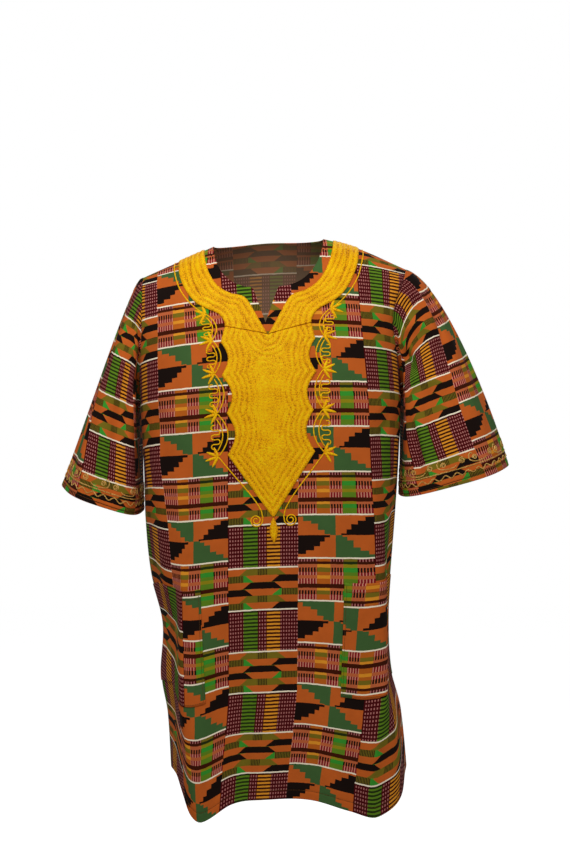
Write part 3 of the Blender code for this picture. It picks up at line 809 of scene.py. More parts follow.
def cotton(name, fade):
    """Printed plain-weave cotton, which is paler on the inside."""
    made, shader, place, right, below = new_finish(name, COTTON_FINISH)
    tree = made.node_tree
    drift = (noise(tree, place, 130, 2) - 0.5) * PRINT_WANDER
    strip = (right + drift - STRIP_START) * (1 / STRIP)
    odd = (strip % 2.0).above(1.0)
    across = strip % 1.0
    cell = (below + drift) * (1 / CELL) - abs(odd - 1.0) * GRID_LAG
    down = cell % 1.0
    second = (cell % 2.0).above(1.0)
    even_strip = chosen(second, diamond_cell(across, down), grid_cell(across, down))
    odd_strip = chosen(second, bar_cell(across, down), stair_cell(across, down))
    print_colour = chosen(down.below(LINE), chosen(odd, even_strip, odd_strip), CREAM)

    # The dye takes unevenly, and each thread of the weave shows a little: the print is also painted darker
    # between the threads and lighter on them, as painted shade of the weave's relief
    warp = ((right * (1 / WEAVE)) % 1.0).with_math("PINGPONG", 0.5)
    weft = ((below * (1 / WEAVE)) % 1.0).with_math("PINGPONG", 0.5)
    thread = (warp + weft) * 0.5
    dye_wash_and_weave_shade = noise(tree, place, 38, 5) * 0.30 + thread * 0.28 + 0.80
    dyed_with_painted_shade = tree.nodes.new("ShaderNodeMix")
    dyed_with_painted_shade.data_type = "RGBA"
    dyed_with_painted_shade.blend_type = "MULTIPLY"
    dyed_with_painted_shade.inputs[0].default_value = 1.0
    tree.links.new(print_colour.socket, dyed_with_painted_shade.inputs[6])
    tree.links.new(dye_wash_and_weave_shade.socket, dyed_with_painted_shade.inputs[7])
    dyed_with_painted_shade = Reading(tree, dyed_with_painted_shade.outputs[2])
    paler = chosen(dyed_with_painted_shade * 0 + fade, dyed_with_painted_shade, INSIDE_TINT)
    tree.links.new(paler.socket, shader.inputs["Base Color"])
    raise_surface(shader, thread, WEAVE_HEIGHT, 0.5)
    return made


printed = (cotton("printed_cotton", 0.0), cotton("printed_cotton_inside", INSIDE_FADE))

for name, panel in (("front", FRONT), ("back", BACK)):
    across, down = panel_cells(panel, name)
    flat = grain(panel, across, down)
    points = body_points(panel, across, down)
    # The back is laid the other way round, so that its print and its outer face are right from behind
    if panel is BACK:
        points = points[:, ::-1]
        flat = [STRIP_EDGES[2] + STRIP_EDGES[3] - flat[0][:, ::-1], flat[1][:, ::-1]]
    piece = cloth_piece(f"{name}_cloth", points, flat, *printed)
    finished(piece, "cloth", name)

# Sleeves: each is one piece of the same cotton sewn into a short wide tube, set to the straight armhole and
# left to stand out round the arm. Its seam runs up the underarm, and its print runs down the arm.
SLEEVE_SEAM = 0.0001
SLEEVE_STRIP = 0.004
INSIDE_EDGE = 0.97
CUFF_SQUARE = 2.5
SLEEVE_SLOPE = 0.45
SLEEVE_TURN = 0.6
UNDERARM_TURN = (0.45, 0.85)
RIDGE_TURN = 0.10
SLEEVE_COLUMNS = 132
SLEEVE_TURNS = np.linspace(0.5, 1.5, SLEEVE_COLUMNS + 1)
SLEEVE_LEVELS = np.concatenate((np.linspace(0, 0.90, 74), np.linspace(0.90, 1, 25)[1:]))
SLEEVE_LENGTH = 0.29
SLEEVE_GIRTH = 0.6
BACK_TURN = 0.80
BACK_BLEND = (0.80, 1.10)
CUFF_HEM = 0.011
GATHER = 0.0006
GATHERS = 37
GATHER_REACH = 0.06
CREASE_START = (0.0, 0.08)

# Each sleeve: its side; its cuff's middle, half width, depth and lean in degrees, and how much lower the
# cuff hangs in front; how strongly the cloth runs on from the armhole and into the cuff, at the outer side
# and then at the underarm, with the outer side's flare; the print's strip edge, and its place in a cell at
# the cuff. Its tables: "edges" is where that strip edge lies, in turns by share of the length; "slack" is
# where the print lies lower: place in turns, width, metres, and the shares between which this ends;
# "creases" has the panels' own columns, in turns and shares of the length.
SLEEVES = {
    "sleeve_right": {
        "side": 1, "centre_x": 0.3076, "centre_z": -0.3880, "half": 0.0940, "depth": 0.088, "lean": 16.0,
        "front_drop": 0.006, "leave": 0.205, "leave_in": 0.020, "arrive": 0.300, "arrive_in": 0.080,
        "flare": 0.28, "edge_strip": STRIP_EDGES[3], "cuff_cell": 0.985,
        "edges": ((0, 0.180), (0.35, 0.182), (0.60, 0.202), (0.82, 0.192), (1, 0.178)),
        "slack": ((0.34, 0.085, 0.034, 0.20, 0.48), (0.36, 0.12, 0.008, 0.50, 1.30)),
        "creases": (
            (0.385, 0.22, 0.290, 0.42, 0.021, -0.0170), (0.360, 0.13, 0.170, 0.40, 0.022, 0.0070),
            (0.390, 0.36, 0.200, 0.56, 0.022, 0.0062), (0.150, 0.16, 0.205, 0.62, 0.018, -0.0060),
            (0.208, 0.56, 0.185, 0.98, 0.017, -0.0056), (0.372, 0.52, 0.358, 0.90, 0.016, -0.0085),
            (0.325, 0.60, 0.315, 1.00, 0.016, 0.0040), (0.290, 0.00, 0.150, 0.20, 0.015, 0.0040),
            (0.250, 0.02, 0.120, 0.30, 0.014, -0.0022), (0.100, 0.40, 0.110, 1.00, 0.018, 0.0014),
        ),
    },
    "sleeve_left": {
        "side": -1, "centre_x": -0.2755, "centre_z": -0.4175, "half": 0.0704, "depth": 0.098, "lean": 20.0,
        "front_drop": 0.008, "leave": 0.070, "leave_in": 0.020, "arrive": 0.170, "arrive_in": 0.080,
        "flare": 0.42, "edge_strip": STRIP_EDGES[2], "cuff_cell": 0.885,
        "edges": ((0, 0.135), (0.35, 0.114), (0.80, 0.176), (1, 0.180)),
        "slack": ((0.36, 0.10, 0.006, 0.10, 0.40),),
        "creases": (
            (0.345, 0.02, 0.200, 0.34, 0.016, -0.0056), (0.375, 0.08, 0.240, 0.44, 0.018, 0.0046),
            (0.400, 0.20, 0.300, 0.58, 0.016, -0.0044), (0.085, 0.30, 0.105, 0.82, 0.020, -0.0056),
            (0.140, 0.35, 0.150, 0.95, 0.018, 0.0034), (0.210, 0.62, 0.245, 0.98, 0.015, -0.0040),
            (0.300, 0.45, 0.320, 1.00, 0.016, 0.0022), (0.420, 0.10, 0.400, 0.70, 0.014, -0.0030),
        ),
    },
}

# Large folds round a sleeve: place in turns from the top (0) down its front to the underarm (0.5) and up its
# back (1), with the same columns as the panels' folds, and down as a share of the sleeve's length
SLEEVE_FOLDS = (
    (0.07, 0.04, 0.045, -0.006, 0.15, 0.60, 1.60),
    (0.17, 0.04, 0.050, 0.006, 0.10, 0.60, 1.60),
    (0.28, 0.02, 0.045, -0.007, 0.05, 0.50, 1.60),
    (0.38, 0.00, 0.045, 0.006, 0.05, 0.50, 1.60),
    (0.62, 0.00, 0.045, 0.005, 0.05, 0.50, 1.60),
    (0.72, -0.02, 0.045, -0.007, 0.05, 0.50, 1.60),
    (0.83, -0.04, 0.050, 0.006, 0.10, 0.60, 1.60),
    (0.93, -0.04, 0.045, -0.005, 0.15, 0.60, 1.60),
)

# Creases on the back of both sleeves: from one place to another, as turn and share of the length, then width
# and height
SLEEVE_CREASES = (
    (0.58, 0.04, 0.62, 0.55, 0.014, -0.0018),
    (0.66, 0.08, 0.69, 0.70, 0.016, 0.0020),
    (0.77, 0.04, 0.78, 0.50, 0.013, -0.0017),
    (0.86, 0.06, 0.84, 0.60, 0.015, 0.0018),
    (0.92, 0.30, 0.93, 0.95, 0.016, -0.0014),
    (0.73, 0.50, 0.74, 1.00, 0.018, 0.0013),
)


def unit(vectors):
    return vectors / np.linalg.norm(vectors, axis=-1, keepdims=True)


def armhole_edge(side, turn):
    """Points of the armhole at turns round it, and the way the body panel's cloth runs on there."""
    share = (1 - np.abs(1 - 2 * turn)) ** ROW_CROWDING
    tip = body_tip(side)
    down = tip + (UNDERARM - tip) * share
    found = []
    for panel in (FRONT, BACK):
        point = body_points(panel, side, down)
        found.append((point, unit(point - body_points(panel, side * INSIDE_EDGE, down))))
    ahead = (turn < 0.5)[..., None]
    point = np.where(ahead, found[0][0], found[1][0])
    away = np.where(ahead, found[0][1], found[1][1])
    ends = (share < 1e-9) | (share > 1 - 1e-9)
    point[..., 1] = np.where(ends, 0.0, point[..., 1])
    away[..., 1] = np.where(ends, 0.0, away[..., 1])
    away[..., 1] *= ease(np.minimum(turn, 1 - turn), 0.0, RIDGE_TURN)
    turned = ease(share, *UNDERARM_TURN)[..., None]
    return point, unit(away * (1 - turned) + np.array((side, 0.0, 0.0)) * turned)


def sleeve_points(sleeve, turn, share):
    """Points of a sleeve's outer face, at turns round it and shares of the way to the cuff. Below 0, the
    share is in metres back along the short strip at the seam."""
    turn = turn % 1.0
    start, away = armhole_edge(sleeve["side"], turn)
    strip = np.clip(-share, 0, None)[..., None]
    share = np.clip(share, 0, None)
    angle = 2 * math.pi * turn
    lean = math.radians(sleeve["lean"])
    flat_x, flat_y = np.cos(angle), np.sin(angle)
    size = (np.abs(flat_x) ** CUFF_SQUARE + np.abs(flat_y) ** CUFF_SQUARE) ** (1 / CUFF_SQUARE)
    flat_x, flat_y = flat_x / size, flat_y / size
    side = sleeve["side"]
    way = np.stack((side * flat_x * math.cos(lean), -flat_y, flat_x * math.sin(lean)), axis=-1)
    drop = sleeve["front_drop"] * np.maximum(0.0, flat_y)
    end = np.stack((
        sleeve["centre_x"] + sleeve["half"] * way[..., 0],
        sleeve["depth"] * way[..., 1],
        sleeve["centre_z"] + sleeve["half"] * way[..., 2] - drop,
    ), axis=-1)
    outer = (1 + np.cos(angle)) / 2
    leave = sleeve["leave_in"] + (sleeve["leave"] - sleeve["leave_in"]) * outer
    arrive = sleeve["arrive_in"] + (sleeve["arrive"] - sleeve["arrive_in"]) * outer
    down_arm = unit(np.array((side, 0.0, -SLEEVE_SLOPE)))
    first_way = unit(away + down_arm * SLEEVE_TURN) * leave[..., None]
    flare = side * sleeve["flare"] * outer
    last_way = unit(np.stack((flare, np.zeros_like(outer), -np.ones_like(outer)), axis=-1))
    last_way *= arrive[..., None]
    square = (share * share)[..., None]
    cube = square * share[..., None]
    first = start + away * (SLEEVE_STRIP - strip)
    point = first * (2 * cube - 3 * square + 1) + first_way * (cube - 2 * square + share[..., None])
    point += end * (3 * square - 2 * cube) + last_way * (cube - square)
    height = fold_height(SLEEVE_FOLDS, turn, share)
    height += crease_height(SLEEVE_CREASES + sleeve["creases"], turn, share) * ease(share, *CREASE_START)
    gathers = np.sin(2 * math.pi * GATHERS * turn + 5 * np.sin(9 * turn))
    height += GATHER * gathers * np.exp(-((share / GATHER_REACH) ** 2))
    height += hem_height((1 - share) * SLEEVE_LENGTH - CUFF_HEM, turn * SLEEVE_GIRTH)
    return point + unit(way) * height[..., None]


for name, sleeve in SLEEVES.items():
    shares = np.concatenate(([SLEEVE_SEAM - SLEEVE_STRIP, -SLEEVE_STRIP / 2], SLEEVE_LEVELS))
    turn, share = np.meshgrid(SLEEVE_TURNS, shares)
    points = sleeve_points(sleeve, turn, share)
    points[:, -1] = points[:, 0]
    around = np.linalg.norm(np.diff(points, axis=1), axis=-1)
    around = np.concatenate((np.zeros((len(points), 1)), np.cumsum(around, axis=1)), axis=1)
    edges = 1 + curve(sleeve["edges"], shares)
    around -= np.array([np.interp(edge, SLEEVE_TURNS, row) for edge, row in zip(edges, around)])[:, None]
    # On the back the strips run straight down from the cuff's own places
    behind = np.array([np.interp(BACK_TURN, SLEEVE_TURNS, row) for row in around])[:, None]
    straight = around - behind + behind[-1]
    around = straight + (around - straight) * ease(SLEEVE_TURNS, *BACK_BLEND)
    along = np.linalg.norm(np.diff(points, axis=0), axis=-1)
    along = np.concatenate((np.zeros((1, points.shape[1])), np.cumsum(along, axis=0)), axis=0)
    along += sleeve["cuff_cell"] * CELL - along[-1]
    for place, width, taken, start, end in sleeve["slack"]:
        along -= taken * np.exp(-(((turn % 1.0 - place) / width) ** 2)) * (1 - ease(share, start, end))
    flat = [sleeve["edge_strip"] - around * sleeve["side"], along]
    if sleeve["side"] > 0:
        points = points[:, ::-1]
        flat = [values[:, ::-1] for values in flat]
    piece = cloth_piece(f"{name}_cloth", points, flat, *printed, closed=True)
    finished(piece, "cloth", name)

# Patch pockets: a rectangle of the same cotton on each side, its top hemmed, laid on the front with its
# print the other way up, and sewn down along its inner and lower edges and into the side seam.
POCKET_TOP = 0.600
POCKET_BOTTOM = 0.775
POCKET_INNER = {"pocket_left": (-0.105, -0.096), "pocket_right": (0.121, 0.114)}
POCKET_PRINT = {"pocket_left": (0.020, -0.0809), "pocket_right": (0.020, -0.0556)}
POCKET_LIFT = 0.0003
POCKET_COLUMNS = 56
POCKET_ROWS = 46


def over_body(panel, across, down, lift):
    """Points lifted off a body panel's outer face."""
    lift = np.asarray(lift)[..., None]
    return body_points(panel, across, down) + body_normals(panel, across, down) * lift


for name, side in (("pocket_left", -1), ("pocket_right", 1)):
    share, level = np.meshgrid(np.linspace(0, 1, POCKET_COLUMNS + 1), np.linspace(0, 1, POCKET_ROWS + 1))
    if side < 0:
        share = share[:, ::-1]
    down = POCKET_TOP + (POCKET_BOTTOM - POCKET_TOP) * level
    top, bottom = POCKET_INNER[name]
    inner = across_at(top + (bottom - top) * level, down)
    across = inner + (side - inner) * share
    points = over_body(FRONT, across, down, POCKET_LIFT)
    over, below = grain(FRONT, across, down)
    flat = [POCKET_PRINT[name][0] - over, POCKET_PRINT[name][1] - below]
    piece = cloth_piece(f"{name}_cloth", points, flat, *printed, outward=True)
    finished(piece, "cloth", name)

# Chest embroidery: a collar and a pointed panel of dense satin stitch, sewn by machine through the front in
# rows that run beside its outline. The thread is a bright golden viscose and stands a little off the cotton.
THREAD_LIFT = 0.0009
THREAD = 0.0012
AXIS_X = 0.0005
AXIS_LEAN = 0.030
AXIS_START = 0.210
ROW_PITCH = 0.0083
ROW_HEIGHT = 0.0007
ROW_FADE = (0.022, 0.050)
STITCH_CELL = 0.0021
# How the rows wander: metres, waves for each metre down and across, and where these start
ROW_WANDER = ((0.0010, 75, 60, 0.0), (0.0009, 41, -53, 1.3))
THREAD_FINISH = {"Roughness": 0.55, "Specular IOR Level": 0.08}
# Places of the thread's tones, from painted shade in the grooves and at the sides of lines to painted
# highlight on the tops
TONE_PLACES = (0.0, 0.30, 0.55, 0.80, 1.0)

# Each side of the yoke as a band from the shoulder seam to the seam across the chest: step, inner edge
# across and down, and outer edge across and down
YOKE = (
    (0, 0.1065, 0.0040, 0.1480, 0.0205),
    (1, 0.1045, 0.0450, 0.1475, 0.0550),
    (2, 0.0990, 0.0780, 0.1435, 0.0880),
    (3, 0.0905, 0.1020, 0.1330, 0.1180),
    (4, 0.0780, 0.1215, 0.1170, 0.1430),
    (5, 0.0600, 0.1350, 0.0990, 0.1565),
    (6, 0.0400, 0.1425, 0.0830, 0.1660),
    (7, 0.0305, 0.1530, 0.0735, 0.1745),
    (8, 0.0215, 0.1700, 0.0695, 0.1825),
    (9, 0.0110, 0.1895, 0.0685, 0.1870),
    (10, 0.0005, 0.2085, 0.0680, 0.1910),
)
# Cusps of the placket's outline: level, half width, and how hollow the scallop below each one is
PLACKET = (
    (0.1910, 0.0680, 0.0000),
    (0.2165, 0.0742, 0.0105),
    (0.2700, 0.0742, 0.0120),
    (0.3300, 0.0680, 0.0125),
    (0.3950, 0.0685, 0.0000),
    (0.4960, 0.0015, 0.0000),
)
PLACKET_SAG = 0.0175
SEAM = 0.0003
DROP_TOP = 0.4975
DROP_BOTTOM = 0.5370
DROP_HALF = 0.0064
DROP_END = 0.12
DROP_COLUMNS = 18
DROP_ROWS = 44


def on_front(x, down, lift):
    """Points over the front at places across from the embroidery's own axis, lifted off the cloth."""
    x = x + AXIS_X + AXIS_LEAN * np.maximum(0.0, down - AXIS_START)
    return over_body(FRONT, across_at(x, down), down, lift)


def placket_half(down):
    """Half width of the placket at a level, with its hollow scallops."""
    levels, halves, hollows = np.array(PLACKET).T
    low = np.clip(np.searchsorted(levels, down, side="right") - 1, 0, len(levels) - 2)
    share = (down - levels[low]) / (levels[low + 1] - levels[low])
    straight = halves[low] + (halves[low + 1] - halves[low]) * share
    return straight - hollows[low] * np.sin(math.pi * share)


steps = np.linspace(0, 10, 240)
yoke_inner = np.stack((curve(YOKE, steps, 1), curve(YOKE, steps, 2)), axis=-1)
yoke_outer = np.stack((curve(YOKE, steps, 3), curve(YOKE, steps, 4)), axis=-1)
placket_levels = np.linspace(PLACKET[0][0], PLACKET[-1][0], 300)
placket_edge = np.stack((placket_half(placket_levels), placket_levels), axis=-1)
outlines = (yoke_inner, np.concatenate((yoke_outer, placket_edge)))


def beside_outline(x, down, lines):
    """Distance to the nearest outline, and the way along it to the nearest place, in metres."""
    spot = np.stack((np.abs(x), down), axis=-1)
    nearest = np.full(x.shape, 1.0)
    along = np.zeros(x.shape)
    for line in lines:
        ways = np.diff(line, axis=0)
        sizes = np.linalg.norm(ways, axis=-1)
        starts = np.concatenate(([0.0], np.cumsum(sizes)))
        for start, way, size, before in zip(line, ways, sizes, starts):
            if size < 1e-9:
                continue
            off = spot - start
            share = np.clip((off @ way) / size**2, 0, 1)
            distance = np.linalg.norm(off - share[..., None] * way, axis=-1)
            closer = distance < nearest
            nearest = np.where(closer, distance, nearest)
            along = np.where(closer, before + share * size, along)
    return nearest, along


def stitched_height(x, down, distance, along):
    """Height of the rows of stitching over the thread's plain face, uneven as a hand-guided machine sews."""
    wander = sum(size * np.sin(down * low + x * wide + start) for size, low, wide, start in ROW_WANDER)
    rows = (distance + wander * ease(distance, 0.004, 0.020)) / ROW_PITCH
    ridge = (0.5 - 0.5 * np.cos(2 * math.pi * rows)) ** 0.75
    fine = np.sin(along * 2600 + 3 * np.sin(distance * 900))
    fine *= np.sin(distance * 2100 + 2 * np.sin(along * 500))
    strength = 1 - 0.65 * ease(distance, *ROW_FADE)
    edge = ease(distance, -0.0001, 0.0018)
    return ((ridge - 1) * strength + fine * 0.16) * ROW_HEIGHT * edge - THREAD * 0.7 * (1 - edge)


def satin_thread(name, *shade_to_highlight_tones):
    """Satin stitches that run across each row, in tones from painted shade in the grooves between rows to
    painted highlight on their tops.
    """
    made, shader, _, along, height = new_finish(name, THREAD_FINISH)
    tree = made.node_tree
    place = tree.nodes.new("ShaderNodeTexCoord").outputs["Object"]
    speckle = noise(tree, place, 620, 3)
    patch = noise(tree, place, 45, 3)
    stitch = ((along * (1 / STITCH_CELL) + speckle * 1.5) % 1.0).with_math("PINGPONG", 0.5)
    grainy = (speckle - 0.5) * 2.1
    # Painted shade and highlight: the tone is darker in the grooves and at the sides and lighter on the
    # tops, by the relief's height in the UV map, and darker between the stitches; random speckles and
    # patches vary it too
    painted_shade_tone = height * 0.32 + grainy + (patch - 0.5) * 0.7 + stitch * 0.36 + 0.30
    ramp = tree.nodes.new("ShaderNodeValToRGB")
    stops = ramp.color_ramp.elements
    stops.remove(stops[1])
    for number, (start, colour) in enumerate(zip(TONE_PLACES, shade_to_highlight_tones)):
        stop = stops[0] if number == 0 else stops.new(start)
        stop.color = dye(*colour)
    tree.links.new(painted_shade_tone.socket, ramp.inputs["Fac"])
    tree.links.new(ramp.outputs["Color"], shader.inputs["Base Color"])
    raise_surface(shader, stitch + grainy * 0.6, 0.0005, 0.7)
    return made


# Golden thread, in tones from painted shade in the grooves to painted highlight on the tops
golden = satin_thread(
    "golden_satin_stitch", (170, 98, 0), (220, 143, 2), (252, 180, 3), (255, 196, 4), (255, 216, 14)
)


def embroidered(name, x, down, node, lines, groove=0.0):
    """A raised patch of rows of stitching over the front, with a groove where its pieces of backing meet."""
    distance, along = beside_outline(x, down, lines)
    height = stitched_height(x, down, distance, along) - groove * ROW_HEIGHT
    points = on_front(x, down, THREAD_LIFT + THREAD + height)
    # Painted shade: the tone in the UV map is darker in the grooves between rows, at the patch's edge and in
    # the groove, and lighter on the rows' tops
    painted_shade_tone = np.clip(1 + height / ROW_HEIGHT, 0, 1) - groove
    return finished(cloth_piece(name, points, (along, painted_shade_tone), golden, wall=THREAD), "thread", node)


def chest_seam(x):
    """Level of the seam across the chest."""
    return PLACKET[0][0] + PLACKET_SAG * (1 - np.abs(x) / PLACKET[0][1])


SEAM_GROOVE = 0.0008
YOKE_CREASE = (0.46, 0.06, 0.022)
YOKE_COLUMNS = 44
YOKE_ROWS = 250
for name, side in (("yoke_left", -1), ("yoke_right", 1)):
    share, step = np.meshgrid(np.linspace(0, 1, YOKE_COLUMNS + 1), np.linspace(0, 10, YOKE_ROWS + 1))
    if side < 0:
        share = share[:, ::-1]
    x = curve(YOKE, step, 1) * (1 - share) + curve(YOKE, step, 3) * share
    down = curve(YOKE, step, 2) * (1 - share) + curve(YOKE, step, 4) * share
    # The groove at the chest seam and along the yoke's crease both dips the stitching and is painted darker
    # as shade
    groove = np.exp(-(((chest_seam(x) - down) / SEAM_GROOVE) ** 2))
    middle = YOKE_CREASE[0] + YOKE_CREASE[1] * step
    groove += 0.7 * np.exp(-(((share - middle) / YOKE_CREASE[2]) ** 2)) * (1 - ease(step, 3.5, 6.0))
    embroidered(f"{name}_stitching", side * x, down, name, outlines, groove)

PLACKET_COLUMNS = 116
PLACKET_ROWS = 250
row_levels = np.linspace(PLACKET[0][0], PLACKET[-1][0], PLACKET_ROWS + 1)
share, down = np.meshgrid(np.linspace(-1, 1, PLACKET_COLUMNS + 1), row_levels)
fade = np.clip((PLACKET[1][0] - down) / (PLACKET[1][0] - PLACKET[0][0]), 0, 1)
x = placket_half(down) * share
down = down + (PLACKET_SAG * (1 - np.abs(share)) + SEAM) * fade
# The groove at the chest seam both dips the stitching and is painted darker as shade
groove = np.exp(-(((down - chest_seam(x)) / SEAM_GROOVE) ** 2))
embroidered("placket_stitching", x, down, "placket", outlines, groove)

share, row = np.meshgrid(np.linspace(-1, 1, DROP_COLUMNS + 1), np.linspace(0, 1, DROP_ROWS + 1))
half = DROP_HALF * (DROP_END + (1 - DROP_END) * np.sin(math.pi * row))
down = DROP_TOP + (DROP_BOTTOM - DROP_TOP) * row
drop_line = np.stack((half[:, 0], down[:, 0]), axis=-1)
embroidered("drop_stitching", half * share, down, "drop", (drop_line,))

# Line embroidery on the chest: on each side a thin raised line of satin stitch runs from the shoulder
# through five knots, each with four small leaves, and on to a curl under the panel's point. Double bows and
# a meander fill the gaps. It is the panel's own golden thread, sewn through the front.
LINE_WIDTH = 0.0024
LINE_HEIGHT = 0.0010
LINE_STEP = 0.0015
LINE_COLUMNS = 6
LINE_WALL = 0.0006
KNOTS = ((0.0990, 0.1670), (0.0885, 0.2120), (0.0860, 0.2665), (0.0835, 0.3295), (0.0835, 0.3970))
VINE = (
    (0.1550, 0.0270), (0.1548, 0.0590), (0.1508, 0.0870), (0.1430, 0.1135), (0.1305, 0.1360),
    (0.1175, 0.1520), (0.1070, 0.1615), (0.0990, 0.1670),
)
TAIL = ((0.0835, 0.3970), (0.0575, 0.4305), (0.0330, 0.4620), (0.0200, 0.4830), (0.0165, 0.4960))
CURL = (0.0270, 0.5010)
CURL_RADIUS = 0.0102
CURL_START = 184
CURL_TURNS = -1.9
CURL_STEP = 0.0012

# Leaves at each knot: angle up from straight outwards, and length
LEAVES = ((68, 0.0165), (26, 0.0200), (-14, 0.0210), (-58, 0.0185))
LEAF_WIDTH = 0.0056
LEAF_HEIGHT = 0.0016

# In each gap between knots: how deep its bow is, how much shallower the bow inside it is, and its meander
BOWS = (0.0120, 0.0125, 0.0135, 0.0165)
BOW_ROUNDNESS = 0.85
BOW_INSIDE = 0.50
MEANDER_WAVES = 2.5
MEANDER_HALF = 0.0068
MEANDER_OUT = 0.0030
MEANDER_ROUND = 0.62
MEANDER_SPAN = (0.27, 0.82)


def smooth_path(places, step=LINE_STEP):
    """A smooth run of close places through a few given ones."""
    places = np.asarray(places, float)
    reach = np.concatenate(([0.0], np.cumsum(np.linalg.norm(np.diff(places, axis=0), axis=-1))))
    table = np.column_stack((reach, places))
    run = np.linspace(0, reach[-1], max(4, round(reach[-1] / step)))
    return np.stack((curve(table, run, 1), curve(table, run, 2)), axis=-1)


def curl(centre, radius, start, turns, closing=0.25):
    """Places on a curl that winds in to its centre from an angle in degrees."""
    angle = math.radians(start) + np.linspace(0, 2 * math.pi * turns, max(12, round(24 * abs(turns))))
    size = radius * np.linspace(1, closing, len(angle))
    return np.stack((centre[0] + size * np.cos(angle), centre[1] + size * np.sin(angle)), axis=-1)


def stitched_strip(path, place, width=LINE_WIDTH, height=LINE_HEIGHT, leaf=False, pitch=0.0):
    """Points, and length and the dome's height as a UV map, of one raised line that follows a path over the
    cloth. The thread's material paints that height as painted shade at the line's sides and painted
    highlight along its top.
    """
    along = np.concatenate(([0.0], np.cumsum(np.linalg.norm(np.diff(path, axis=0), axis=-1))))
    way = unit(np.gradient(path, axis=0))
    aside = np.stack((-way[:, 1], way[:, 0]), axis=-1)
    share = along / along[-1]
    if leaf:
        full = np.sin(math.pi * (0.06 + 0.90 * share) ** 0.8) ** 0.6
    else:
        full = np.minimum(1, 0.4 + np.minimum(along, along[-1] - along) / width)
    if pitch:
        full = full * (0.2 + 0.8 * np.abs(np.sin(math.pi * along / pitch)) ** 0.6)
    across = np.linspace(-1, 1, LINE_COLUMNS + 1)
    spots = path[:, None] + aside[:, None] * (across[None, :, None] * full[:, None, None] * width / 2)
    dome = np.sqrt(1 - across**2)[None] * np.ones(len(path))[:, None]
    lift = dome * height * full[:, None] - (1 - dome) * LINE_WALL
    points = place(spots[..., 0], spots[..., 1], lift)
    # The strip is turned over where it would face into the cloth
    row, column = len(path) // 2, LINE_COLUMNS // 2
    above = place(spots[..., 0], spots[..., 1], lift + 0.001)[row, column] - points[row, column]
    facing = np.cross(points[row, -1] - points[row, 0], points[row - 1, column] - points[row, column])
    if facing @ above < 0:
        points = points[:, ::-1]
    # The dome's height goes to the UV map, where the thread's material turns it into painted shade at the
    # sides and painted highlight on top
    return points, (along[:, None] * np.ones_like(dome), dome)


def thread_piece(name, strips, dyed_with_painted_shade):
    """One piece of raised lines of thread."""
    work = bmesh.new()
    for points, flat in strips:
        lay_grid(work, points, flat)
    return finished(walled_piece(name, work, LINE_WALL, -1.0, dyed_with_painted_shade), "thread")


def leaf_path(knot, angle, length):
    """A straight leaf from a knot, its angle measured up from straight outwards."""
    share = np.linspace(0, 1, 12)[:, None]
    way = np.array((math.cos(math.radians(angle)), -math.sin(math.radians(angle))))
    return np.array(knot) + way * length * share


for name, side in (("vine_left", -1), ("vine_right", 1)):
    def beside_panel(x, down, lift):
        return on_front(side * x, down, lift)

    tail = smooth_path(TAIL)
    winding = curl(CURL, CURL_RADIUS, CURL_START, CURL_TURNS)
    paths = [smooth_path(VINE), smooth_path(np.concatenate((tail, winding)), CURL_STEP)]
    for (start, end), bow in zip(zip(KNOTS, KNOTS[1:]), BOWS):
        share = np.linspace(0, 1, 40)[:, None]
        chord = np.array(start) * (1 - share) + np.array(end) * share
        depth = np.sin(math.pi * share) ** BOW_ROUNDNESS
        paths.append(chord - np.array((bow, 0)) * depth)
        paths.append(chord[5:-5] - np.array((bow, 0)) * (depth[5:-5] - BOW_INSIDE))
        wave = np.linspace(*MEANDER_SPAN, 80)[:, None]
        spine = np.array(start) * (1 - wave) + np.array(end) * wave + np.array((MEANDER_OUT, 0))
        turning = np.linspace(0, 2 * math.pi * MEANDER_WAVES, len(wave))[:, None]
        drop = np.linalg.norm(np.diff(spine, axis=0).sum(axis=0)) / (2 * math.pi * MEANDER_WAVES)
        paths.append(spine + np.concatenate(
            (MEANDER_HALF * np.sin(turning), -MEANDER_ROUND * drop * np.sin(2 * turning)), axis=-1
        ))
    strips = [stitched_strip(path, beside_panel) for path in paths]
    for knot in KNOTS:
        for angle, length in LEAVES:
            path = leaf_path(knot, angle, length)
            strips.append(stitched_strip(path, beside_panel, LEAF_WIDTH, LEAF_HEIGHT, leaf=True))
    thread_piece(f"{name}_stitching", strips, golden)

# Cuff embroidery: round each cuff run a row of curled scrolls, a plain line and a wavy line, all in a paler
# golden thread, sewn through the sleeve before its underarm seam was closed.
CUFF_LEVELS = np.linspace(0, 0.06, 25)
CUFF_LINE = 0.0256
CUFF_WAVE_LEVEL = 0.0175
CUFF_WAVE_HALF = 0.0030
CUFF_WAVE_LENGTH = 0.0185
CUFF_WIDTH = 0.0017
CUFF_HEIGHT = 0.0008
CUFF_STEP = 0.002
SCROLL = 0.0535

# One scroll, as shares of its length along the cuff and metres above the hem, and its two closing curls,
# each with its radius, first angle in degrees and turns
SCROLL_SWEEP = (
    (0.235, 0.0330), (0.30, 0.0305), (0.42, 0.0295), (0.60, 0.0298), (0.74, 0.0315), (0.83, 0.0350),
    (0.85, 0.0400), (0.82, 0.0440), (0.76, 0.0455), (0.72, 0.0430),
)
SCROLL_CURLS = ((0.655, 0.0372, 0.0046, -20, 1.6), (1.06, 0.0376, 0.0052, 120, -1.7))


